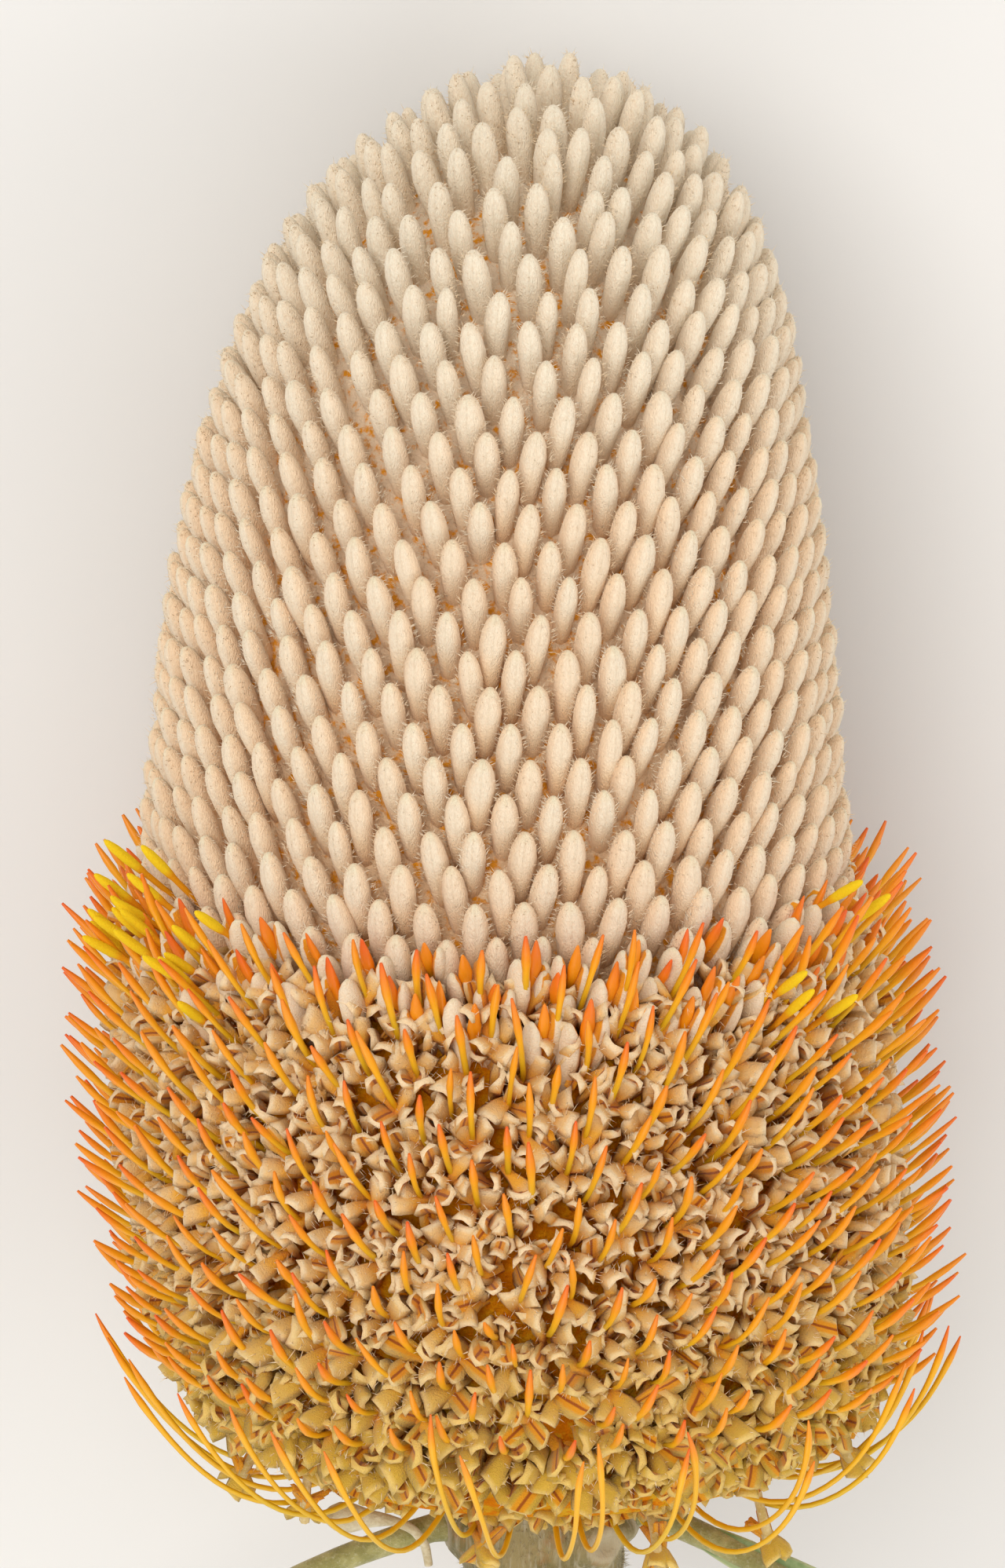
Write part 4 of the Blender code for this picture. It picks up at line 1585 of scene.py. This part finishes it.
    def build(self, scatter: Scatter, strands: Strands) -> None:
        """Args:
            scatter: Tree that plants the repeats.
            strands: Tree that draws the strands.
        """
        spots = self.lobe_spots()
        LOG.info("floret lobes: %d", len(spots.points))
        lobes = [
            self.lobe_model(f"lobe_{kind.name.lower()}", kind, 100 + index)
            for index, kind in enumerate(LobeKind)
        ]
        finish = TepalFinish().material()
        made = scatter.plant("floret_lobes", spots, lobes, finish, 111, lean_spread=0.15)
        shown(made, "floret_orange", "open_florets")
        filler = scatter.plant("filler_lobes", self.filler_spots(), lobes, finish, 112)
        shown(filler, "floret_orange")
        under = scatter.plant("under_lobes", self.under_spots(), lobes, finish, 113)
        shown(under, "floret_orange")
        wool = [self.wool_model(f"wool_{k}", 120 + k) for k in range(4)]
        hair = Silk("floret wool", (1.0, 0.82, 0.55), (0.95, 0.66, 0.34))
        made = scatter.plant("floret_wool", spots, wool, hair.material(), 111, lean_spread=0.15)
        shown(made, "floret_orange")
        SpentFlorets().build(scatter, strands, lobes, finish)
        discard(lobes + wool)
        orange = StyleFinish().material()
        shown(self.styles(strands, orange), "floret_orange")
        yellow = StyleFinish("low styles", 0.72).material()
        shown(self.low_styles(strands, yellow), "floret_orange")
        shown(self.pollen_styles(strands), "floret_orange")
        bed = BedFinish(
            "floret bed", low=(0.86, 0.48, 0.02), high=(0.97, 0.40, 0.006),
            dark=(0.86, 0.26, 0.002),
        )
        shown(self.bed(bed.material()), "floret_orange")


@dataclass
class SpentFlorets:
    """Limp old florets that hang from the underside of the head."""

    places: tuple[tuple[float, ...], ...] = (
        # sideways, height and depth at the root, then at the end
        (-25.5, 6.0, 8.0, -28.8, -0.6, 6.0), (-21.5, 5.0, 14.0, -22.0, -1.6, 13.0),
        (19.5, 3.0, 12.0, 21.5, -5.6, 11.0), (27.0, 6.0, 10.0, 29.4, 2.2, 9.0),
        (-4.8, 2.0, 22.0, -5.6, -2.4, 24.0), (10.0, 2.0, 21.0, 10.8, -3.0, 23.0),
        (3.0, 1.6, -20.0, 4.0, -4.6, -23.0),
        (-12.0, 1.8, -18.0, -13.5, -3.4, -21.0), (15.0, 1.8, -17.0, 17.5, -3.2, -19.5),
    )

    def build(
        self, scatter: Scatter, strands: Strands, lobes: Sequence[bpy.types.Object],
        finish: bpy.types.Material,
    ) -> None:
        """Args:
            scatter: Tree that plants the lobes.
            strands: Tree that draws the claws and dry styles.
            lobes: Lobe models to plant.
            finish: Material of the lobes.
        """
        draw = np.random.default_rng(131)
        ends = np.array(self.places)
        root, tip = ends[:, :3] * MM, ends[:, 3:] * MM
        forward = unit(tip - root)
        points, ahead, face = [], [], []
        for _ in range(4):
            away = unit(np.cross(forward, draw.normal(0.0, 1.0, forward.shape)))
            points.append(tip - forward * 1.2 * MM + away * 0.6 * MM)
            ahead.append(unit(forward + away * draw.uniform(0.3, 0.9, (len(forward), 1))))
            face.append(away)
        size = np.ones((4 * len(forward), 3)) * 1.05
        facts = {"low": np.ones(4 * len(forward))}
        spots = Spots(
            np.concatenate(points), np.concatenate(ahead), np.concatenate(face), size, facts, 132
        )
        limp = scatter.plant("spent_lobes", spots, lobes, finish, 133, lean_spread=0.3)
        shown(limp, "floret_orange")
        shares = np.linspace(0.0, 1.0, 7)[None, :, None]
        sag = np.sin(shares * math.pi) * np.array([0.0, 0.0, 0.8]) * MM
        claws = root[:, None] * (1.0 - shares) + tip[:, None] * shares + sag
        girths = np.tile(np.array([0.5, 0.5, 0.45, 0.45, 0.5, 0.6, 0.5]) * MM, (len(root), 1))
        dry = PetioleFinish("spent claws", (0.74, 0.56, 0.26), (0.50, 0.34, 0.10)).material()
        thin = strands.draw("spent_claws", claws, girths, np.zeros(len(root)), 7, dry)
        shown(thin, "floret_orange")


@dataclass
class OpeningBuds:
    """Buds along the top of the band that are splitting round their orange styles."""

    columns: int = 44
    rows: tuple[tuple[float, float], ...] = (
        # height, share of the places that hold a bud
        (58.6, 1.0), (56.2, 0.95), (53.4, 0.7),
    )
    length: float = 7.5
    inward: float = 1.4
    sides: int = 8
    half_profile: tuple[tuple[float, float], ...] = (
        (0.25, 0.46), (0.8, 0.84), (1.8, 1.08), (3.2, 1.14), (4.8, 0.95), (7.5, 0.70),
    )
    spoon_profile: tuple[tuple[float, float], ...] = (
        (-0.5, 0.15), (0.5, 0.42), (1.6, 0.58), (2.8, 0.48), (4.2, 0.30), (7.5, 0.26),
    )

    def model(self, name: str, seed: int) -> tuple[bpy.types.Object, bpy.types.Object]:
        """One splitting bud as its two woolly halves and the orange spoon between them.

        Args:
            name: Name of the model.
            seed: Seed of its small differences.

        Returns:
            The pair of halves and the spoon, as two objects.
        """
        draw = np.random.default_rng(seed)
        turn = np.arange(self.sides) / self.sides * TAU
        halves = []
        for side in (-1.0, 1.0):
            gape = draw.uniform(0.06, 0.20)
            short = draw.uniform(0.0, 1.7)
            rings, along, inside = [], [], []
            for down, half in self.half_profile:
                apart = side * (0.72 + gape * (self.length - down) * 0.5)
                x = 0.62 * half * np.cos(turn) + apart
                y = half * np.sin(turn) - self.inward * (down / self.length) ** 2
                rings.append(np.stack([x, y, np.full(self.sides, -down - short)], axis=-1))
                along.append(np.full(self.sides, 0.08 + 0.8 * down / self.length))
                inside.append(np.where(side * np.cos(turn) < -0.3, 1.0, 0.0))
            rings = np.array(rings)
            tip = rings[0].mean(axis=0) + [0.0, 0.0, 0.28]
            values = {
                "along": 0.6 * np.array(along), "inside": np.array(inside),
                "across": np.ones(rings.shape[:2]),
            }
            halves.append(loft(
                rings * MM, values,
                {"along": (0.0, 0.6), "inside": (0.0, 0.0), "across": (1.0, 1.0)},
                tip * MM, rings[-1].mean(axis=0) * MM,
            ))
        woolly = mesh_object(name + "_halves", *joined(halves))
        rings, along = [], []
        for down, half in self.spoon_profile:
            x = half * np.cos(turn)
            y = 0.62 * half * np.sin(turn) - self.inward * (down / self.length) ** 2
            rings.append(np.stack([x, y, np.full(self.sides, -down)], axis=-1))
            along.append(np.full(self.sides, 0.95 - 0.9 * down / self.length))
        rings = np.array(rings) + [0.0, 0.25, 0.0]
        orange = mesh_object(name + "_spoon", *loft(
            rings * MM, {"along": np.array(along)}, {"along": (0.9, 0.0)},
            (rings[0].mean(axis=0) + [0.0, 0.0, 0.2]) * MM, rings[-1].mean(axis=0) * MM,
        ))
        return woolly, orange

    def spots(self) -> Spots:
        """Three loose rows of places along the edge of the band.

        Returns:
            The places, with `tone` and `low` values.
        """
        draw = np.random.default_rng(141)
        angle, along = [], []
        for row, (height, filled) in enumerate(self.rows):
            start = 0.5 * ((row + 1) % 2)
            for step in range(self.columns):
                if draw.uniform() < filled:
                    place = step + start + draw.normal(0.0, 0.10)
                    angle.append(place * TAU / self.columns)
                    along.append(height + draw.normal(0.0, 0.6) - 0.5 * math.cos(angle[-1]))
        angle, along = np.array(angle), np.array(along)
        radius = HEAD.tip_radius(along) + 1.0 + 1.4 * ease(-along, -60.0, -54.0)
        lean = np.radians(draw.normal(30.0, 5.0, len(angle)))
        out = outward(angle)
        forward = between(AXIS, out, lean)
        roll = draw.normal(0.0, 0.5, (len(angle), 1))
        face = out + np.cross(forward, out) * roll
        stretch = np.repeat(draw.normal(1.12, 0.06, (len(angle), 1)), 3, axis=1)
        facts = {"tone": draw.uniform(0.0, 1.0, len(angle)), "low": np.zeros(len(angle))}
        return Spots(HEAD.places(angle, along, radius), forward, face, stretch, facts, 142)

    def build(self, scatter: Scatter) -> None:
        """Args:
            scatter: Tree that plants the repeats.
        """
        spots = self.spots()
        models = [self.model(f"split_{k}", 150 + k) for k in range(4)]
        cream = TepalFinish(
            "splitting bud wool", pale=(0.90, 0.80, 0.56), wool=(0.90, 0.76, 0.56),
            warm=(0.92, 0.68, 0.42), claw=(0.92, 0.48, 0.12),
        )
        halves = scatter.plant(
            "splitting_buds", spots, [m[0] for m in models], cream.material(), 151
        )
        shown(halves, "bud_wool")
        spoons = scatter.plant(
            "splitting_styles", spots, [m[1] for m in models], StyleFinish().material(), 151
        )
        shown(spoons, "floret_orange")
        discard([part for model in models for part in model])


# The stem and leaves


@dataclass
class Stem:
    """The felted woody stem with leaf scars and a slanting cut."""

    length: float = 62.0
    top_radius: float = 8.2
    low_radius: float = 6.0
    scar_count: int = 9
    scar_step: float = math.radians(137.5)
    cut_tilt: float = math.radians(22.0)
    root: float = 1.2
    sides: int = 88
    steps: int = 150
    felt_hairs: int = 9000
    felt_width: float = 0.07

    def middle(self, along: np.ndarray) -> tuple[np.ndarray, np.ndarray]:
        """Sideways and upward place of the stem's centre, in millimetres."""
        share = -np.minimum(along, 0.0) / self.length
        return 1.6 * share, -1.2 * share

    def radius(self, along: np.ndarray) -> np.ndarray:
        """Radius in millimetres at a height."""
        share = np.clip(-along / self.length, 0.0, 1.0)
        return self.low_radius + (self.top_radius - self.low_radius) * (1.0 - share) ** 2

    def scars(self) -> list[tuple[float, float, float]]:
        """Angle, height and size of each leaf scar.

        Returns:
            Angle in radians, height in millimetres and size of each.
        """
        found = []
        for k in range(self.scar_count):
            along = -6.0 - k * (self.length - 12.0) / self.scar_count
            found.append((k * self.scar_step + 0.7, along, 1.0))
        return found + [(angle, along, 1.15) for angle, along in (LEFT_LEAF, RIGHT_LEAF)]

    def skin(self, finish: bpy.types.Material) -> bpy.types.Object:
        """The stem's surface, raised at the scars and rough with felt.

        Args:
            finish: Material of the piece.

        Returns:
            The piece as an object.
        """
        turn = np.arange(self.sides) / self.sides * TAU
        rings, scar_rings, cut = [], [], []
        knobs = self.scars()
        for step in range(self.steps + 1):
            along = self.root - (self.length + self.root) * step / self.steps
            mx, mz = self.middle(np.array(along))
            radius = float(self.radius(np.array(along)))
            raised = np.zeros(self.sides)
            scarred = np.zeros(self.sides)
            for angle, height, size in knobs:
                gap = (turn - angle + math.pi) % TAU - math.pi
                far = np.hypot(gap * radius, along - height) / size
                dent = 0.7 * (1.0 - ease(far, 0.0, 1.4))
                raised += 1.5 * size * (1.0 - ease(far, 1.5, 3.6)) - dent
                scarred = np.maximum(scarred, 1.0 - ease(far, 1.0, 2.8))
            rough = np.array([
                noise.noise(Vector((math.sin(a) * 3.2, along * 0.16, math.cos(a) * 3.2))) * 0.40
                + noise.noise(Vector((math.sin(a) * 9.0, along * 0.5, math.cos(a) * 9.0))) * 0.22
                for a in turn
            ])
            reach = radius + raised + rough * (1.0 - 0.5 * scarred)
            x = mx + reach * np.sin(turn)
            z = mz + reach * np.cos(turn)
            tail = float(ease(-along, self.length - 14.0, self.length))
            y = along - tail * math.tan(self.cut_tilt) * (z - mz)
            rings.append(np.stack([x, y, z], axis=-1))
            scar_rings.append(scarred)
            cut.append(np.zeros(self.sides))
        end = rings[-1].mean(axis=0)
        for share in (0.985, 0.6, 0.2):
            rings.append(end + (rings[self.steps] - end) * share)
            scar_rings.append(np.zeros(self.sides))
            cut.append(np.ones(self.sides))
        top = rings[0].mean(axis=0)
        points, faces, facts = loft(
            np.array(rings) * MM, {"scar": np.array(scar_rings), "cut": np.array(cut)},
            {"scar": (0.0, 0.0), "cut": (0.0, 1.0)}, top * MM, end * MM,
        )
        return mesh_object("stem_skin", FLOWER.points(points), faces, facts, finish)

    def felt(self, finish: bpy.types.Material) -> bpy.types.Object:
        """Short woolly hairs all over the stem.

        Args:
            finish: Material of the piece.

        Returns:
            The piece as an object.
        """
        draw = np.random.default_rng(161)
        count = self.felt_hairs
        along = -draw.uniform(0.2, self.length - 2.0, count)
        turn = draw.uniform(0.0, TAU, count)
        mx, mz = self.middle(along)
        radius = self.radius(along) - 0.1
        roots = np.stack([mx + radius * np.sin(turn), along, mz + radius * np.cos(turn)], axis=-1)
        forward = unit(outward(turn) * 0.9 + draw.normal(0.0, 0.5, (count, 3)))
        size = draw.uniform(0.5, 1.15, (count, 1))
        points, faces = needles(roots * MM, (roots + forward * size) * MM, self.felt_width * MM)
        facts = {"tone": np.repeat(draw.uniform(0.0, 1.0, count), 4)}
        return mesh_object("stem_felt", FLOWER.points(points), faces, facts, finish, tidy=False)

    def build(self) -> None:
        shown(self.skin(BarkFinish().material()), "stem_bark", "stem")
        felt = Silk("stem felt", (0.56, 0.48, 0.28), (0.28, 0.22, 0.09))
        shown(self.felt(felt.material()), "stem_bark")


@dataclass
class Leaf:
    """A stiff toothed leaf on a woolly petiole, which runs on as the midrib."""

    name: str
    angle: float
    height: float
    length: float
    set_back: float
    back_turn: float
    droop: float
    facing: tuple[float, float, float]
    stem: Stem
    teeth: int = 13
    half_width: float = 7.8
    notch_half: float = 3.2
    petiole: float = 1.1
    inset: float = 2.5
    foot_rise: float = 1.2
    foot_steps: int = 8
    wing_steps: int = 0
    fine: int = 6
    columns: int = 13

    def line(self) -> np.ndarray:
        """Points in metres on the leaf's middle line, from the stem to the tip.

        Returns:
            The points, one per row.
        """
        stations = 2 * self.teeth + 1
        count = stations + self.foot_steps
        out = Vector(outward(np.array(self.angle)))
        height = np.array(self.height)
        mx, mz = self.stem.middle(height)
        reach = float(self.stem.radius(height)) - self.inset + self.foot_rise
        foot = (Vector((float(mx), self.height, float(mz))) + out * reach) * MM
        heading = (out - Vector(AXIS) * self.set_back).normalized()
        points = [foot, foot + out * 3.7 * MM]
        step = self.length * MM / (count - 2)
        for index in range(count - 2):
            share = index / (count - 3)
            heading = heading - Vector(AXIS) * self.back_turn * step
            heading += Vector((0.0, 0.0, -1.0)) * self.droop * step * share
            heading.normalize()
            points.append(points[-1] + heading * step)
        return np.array([tuple(point) for point in points])

    def half_at(self, share: float, tooth: bool) -> float:
        """Half width of the blade in millimetres at a tooth or a notch.

        Args:
            share: Place along the blade, from 0 to 1.
            tooth: Whether a tooth stands there, or a notch.

        Returns:
            Half width in millimetres.
        """
        share = max(share, 0.0)
        lance = math.sin(math.pi * min(share * 1.02, 1.0) ** 0.85) ** 0.55
        full = self.half_width if tooth else self.notch_half
        return max(full * lance, self.petiole * 0.9)

    def blade(self, finish: bpy.types.Material) -> bpy.types.Object:
        """The toothed blade as one closed skin, green above and felted below.

        Args:
            finish: Material of the piece.

        Returns:
            The piece as an object.
        """
        line = self.line()
        stations = 2 * self.teeth + 1
        fine = self.fine
        start = self.foot_steps - 1
        columns = np.linspace(-1.0, 1.0, self.columns)
        top, low, across, vein = [], [], [], []
        rows = (stations - 1) * fine + 1
        for row in range(-self.wing_steps * fine, rows):
            place = row / fine
            k = max(min(int(math.floor(place)), stations - 2), -self.wing_steps)
            part = place - k
            here = line[start + k] * (1.0 - part) + line[min(start + k + 1, len(line) - 1)] * part
            before = line[max(start + k - 1, 0)]
            after = line[min(start + k + 2, len(line) - 1)]
            along = unit(after - before)
            side = unit(np.cross(along, np.array(self.facing)))
            face = np.cross(side, along)
            shares = [0.02 + 0.98 * (k + j) / (stations - 1) for j in (0, 1)]
            halves = [self.half_at(share, (k + j) % 2 == 1) for j, share in enumerate(shares)]
            if k < 0:
                wing = self.half_at(0.02, False) + 0.9
                halves = [0.9 + wing * (1.0 + (k + j) / self.wing_steps) for j in (0, 1)]
            climb = part**0.8 if k % 2 == 0 else part**1.4
            half = halves[0] * (1.0 - climb) + halves[1] * climb
            ahead = 2.2 * (part if k % 2 == 0 else 1.0 - part) * (k >= 0)
            tip = float(ease(place, stations - 5.0, stations - 1.0))
            half = half * (1.0 - 0.85 * tip**3)
            thick = 0.30 * (1.0 - 0.5 * tip)
            top_row, low_row, vein_row = [], [], []
            for column in columns:
                wide = column * half
                lift = 0.28 * abs(wide) + 0.30 * math.sin(place * 1.3 + 2.0 * column) * abs(column)
                flow = ahead * abs(column) ** 1.6
                spot = here + (side * wide + face * lift + along * flow) * MM
                swell = thick * (1.0 - 0.35 * abs(column))
                top_row.append(spot + face * swell * MM)
                low_row.append(spot - face * swell * MM)
                beat = (place - 0.9 * abs(column) * 1.2 + 0.4) % 2.0
                vein_row.append(math.exp(-(((beat - 1.0) / 0.16) ** 2)) * (1.0 - abs(column) ** 4))
            top.append(top_row)
            low.append(low_row)
            across.append(np.abs(columns))
            vein.append(vein_row)
        top, low = np.array(top), np.array(low)
        rings = np.concatenate([top, low[:, ::-1]], axis=1)
        across, vein = np.array(across), np.array(vein)
        values = {
            "across": np.concatenate([across, across[:, ::-1]], axis=1),
            "vein": np.concatenate([vein, vein[:, ::-1]], axis=1),
            "under": np.concatenate([np.zeros_like(across), np.ones_like(across)], axis=1),
        }
        ends = {name: (0.0, 0.0) for name in values}
        points, faces, facts = loft(
            rings, values, ends, rings[0].mean(axis=0), rings[-1].mean(axis=0)
        )
        return mesh_object(self.name + "_blade", FLOWER.points(points), faces, facts, finish)

    def rib(self, strands: Strands, finish: bpy.types.Material) -> bpy.types.Object:
        """Petiole and midrib as one tapering strand.

        Args:
            strands: Tree that draws the strands.
            finish: Material of the piece.

        Returns:
            The piece as an object.
        """
        line = self.line()
        count = 60
        dense = resampled(line, np.linspace(0.0, len(line) - 2.0, count))
        girth = self.petiole * (1.30 - 1.12 * np.linspace(0.0, 1.0, count) ** 0.8)
        return strands.draw(
            self.name + "_rib", dense[None], girth[None] * MM, np.array([0.5]), 14, finish
        )

    def build(
        self, strands: Strands, green: bpy.types.Material, pale: bpy.types.Material
    ) -> None:
        """Args:
            strands: Tree that draws the strands.
            green: Material of the blade.
            pale: Material of the petiole and midrib.
        """
        shown(self.blade(green), "leaf_green", self.name)
        shown(self.rib(strands, pale), "leaf_green")


@dataclass
class FallenBud:
    """A fallen bud whose thin claw is caught over the left petiole."""

    line: tuple[tuple[float, float, float], ...] = (
        (-20.4, -3.0, 6.6), (-20.0, -3.1, 6.6), (-19.1, -3.3, 6.5), (-17.7, -3.5, 6.3),
        (-16.1, -3.7, 5.9), (-13.9, -4.1, 5.2), (-12.0, -5.2, 4.5), (-10.9, -6.9, 3.9),
        (-10.6, -9.0, 3.6),
    )
    girths: tuple[float, ...] = (0.25, 0.85, 1.40, 1.38, 0.85, 0.48, 0.45, 0.45, 0.40)
    curl: tuple[tuple[float, float, float], ...] = (
        (-14.4, 1.2, 7.0), (-15.0, 0.2, 6.6), (-14.9, -1.0, 6.0), (-15.4, -2.0, 5.6),
        (-16.0, -2.8, 5.2),
    )

    def build(self, strands: Strands) -> None:
        """Args:
            strands: Tree that draws the strands.
        """
        finish = PetioleFinish("fallen bud felt", (0.74, 0.66, 0.46), (0.52, 0.42, 0.24)).material()
        points = np.array(self.line)
        at = np.linspace(0.0, len(points) - 1.0, 44)
        dense = resampled(points, at)
        for _ in range(3):
            dense[1:-1] = (dense[:-2] + 2.0 * dense[1:-1] + dense[2:]) / 4.0
        girth = np.interp(at, np.arange(len(points)), self.girths)
        bud = strands.draw(
            "fallen_bud", dense[None] * MM, girth[None] * MM, np.array([0.4]), 14, finish
        )
        shown(bud, "bud_wool", "dropped_bud")
        curl = np.array(self.curl)
        thin = np.full((1, len(curl)), 0.26) * MM
        dry = strands.draw("dry_style", curl[None] * MM, thin, np.array([0.9]), 8, finish)
        shown(dry, "bud_wool")


# The studio


@dataclass(frozen=True)
class Studio:
    """Pale floor, soft lights and the camera that looks down on the flower."""

    view_rise: float = math.radians(12.0)
    distance: float = 0.66
    aim: tuple[float, float, float] = (-3.64, 65.5, 0.0)
    frame_height: float = 145.2
    sensor: float = 36.0
    lamp_aim: tuple[float, float, float] = (0.0, 0.02, 0.03)
    half_floor: float = 3.0

    def floor(self) -> None:
        """Lays a wide pale floor."""
        corners = self.half_floor * np.array([(-1, -1, 0), (1, -1, 0), (1, 1, 0), (-1, 1, 0)])
        paper = StudioPaper().material()
        floor = mesh_object("studio_floor", corners, [(0, 1, 2, 3)], {}, paper, tidy=False)

    def lamp(
        self, name: str, at: Sequence[float], size: float, power: float, colour: Colour
    ) -> None:
        """Hangs a square soft light that points at the flower.

        Args:
            name: Name of the light.
            at: Its place in metres.
            size: Its width in metres.
            power: Its power in watts.
            colour: Its colour.
        """
        light = bpy.data.lights.new(name, "AREA")
        light.size = size
        light.energy = power
        light.color = colour
        lamp = linked(name, light)
        lamp.location = at
        back = Vector(at) - Vector(self.lamp_aim)
        lamp.rotation_euler = back.to_track_quat("Z", "Y").to_euler()

    def camera(self) -> None:
        """Sets the camera at the photograph's angle."""
        aim = Vector(FLOWER.points(np.array([self.aim]) * MM)[0])
        rise = np.array([[0.0, math.sin(self.view_rise), math.cos(self.view_rise)]])
        back = Vector(FLOWER.directions(rise)[0])
        up = Vector(FLOWER.directions(AXIS[None])[0])
        side = up.cross(back).normalized()
        turned = Matrix((side, back.cross(side), back)).transposed().to_4x4()
        turned.translation = aim + back * self.distance
        data = bpy.data.cameras.new("camera")
        data.sensor_width = self.sensor
        data.lens = self.sensor * self.distance / (self.frame_height * MM)
        data.clip_start = 0.01
        camera = linked("camera", data)
        camera.matrix_world = turned
        bpy.context.scene.camera = camera

    def build(self) -> None:
        """Sets up the whole studio."""
        self.floor()
        self.lamp("key", (-0.30, 0.50, 0.85), 0.7, 5.0, (1.0, 0.98, 0.95))
        self.lamp("fill", (0.75, -0.15, 0.55), 0.8, 2.8, (1.0, 0.99, 0.98))
        self.lamp("front", (-0.2, -0.7, 0.6), 0.7, 2.3, (1.0, 0.99, 0.97))
        world = bpy.data.worlds.new("studio")
        world.use_nodes = True
        background = world.node_tree.nodes["Background"]
        background.inputs["Color"].default_value = (1.0, 0.985, 0.97, 1.0)
        background.inputs["Strength"].default_value = 0.64
        bpy.context.scene.world = world
        bpy.context.scene.view_settings.view_transform = "Standard"
        self.camera()


def main() -> None:
    """Builds the flower and its studio, in order."""
    logging.basicConfig(level=logging.INFO, format="%(name)s: %(message)s")
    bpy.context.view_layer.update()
    scatter, strands = Scatter(), Strands()
    ClosedBuds().build(scatter)
    OpenFlorets().build(scatter, strands)
    OpeningBuds().build(scatter)
    stem = Stem()
    stem.build()
    green = LeafFinish().material()
    pale = PetioleFinish(
        "petiole felt", light=(0.44, 0.40, 0.16), dark=(0.27, 0.25, 0.08), rib_from=0.12
    ).material()
    Leaf(
        "leaf_left", *LEFT_LEAF, length=108.0, set_back=0.22, back_turn=13.0, droop=5.0,
        facing=(0.0, 0.3, 1.0), stem=stem,
    ).build(strands, green, pale)
    Leaf(
        "leaf_right", *RIGHT_LEAF, length=112.0, set_back=0.30, back_turn=11.0, droop=6.0,
        facing=(0.0, 0.25, 1.0), stem=stem, wing_steps=5,
    ).build(strands, green, pale)
    FallenBud().build(strands)
    Studio().build()


if __name__ == "__main__":
    main()
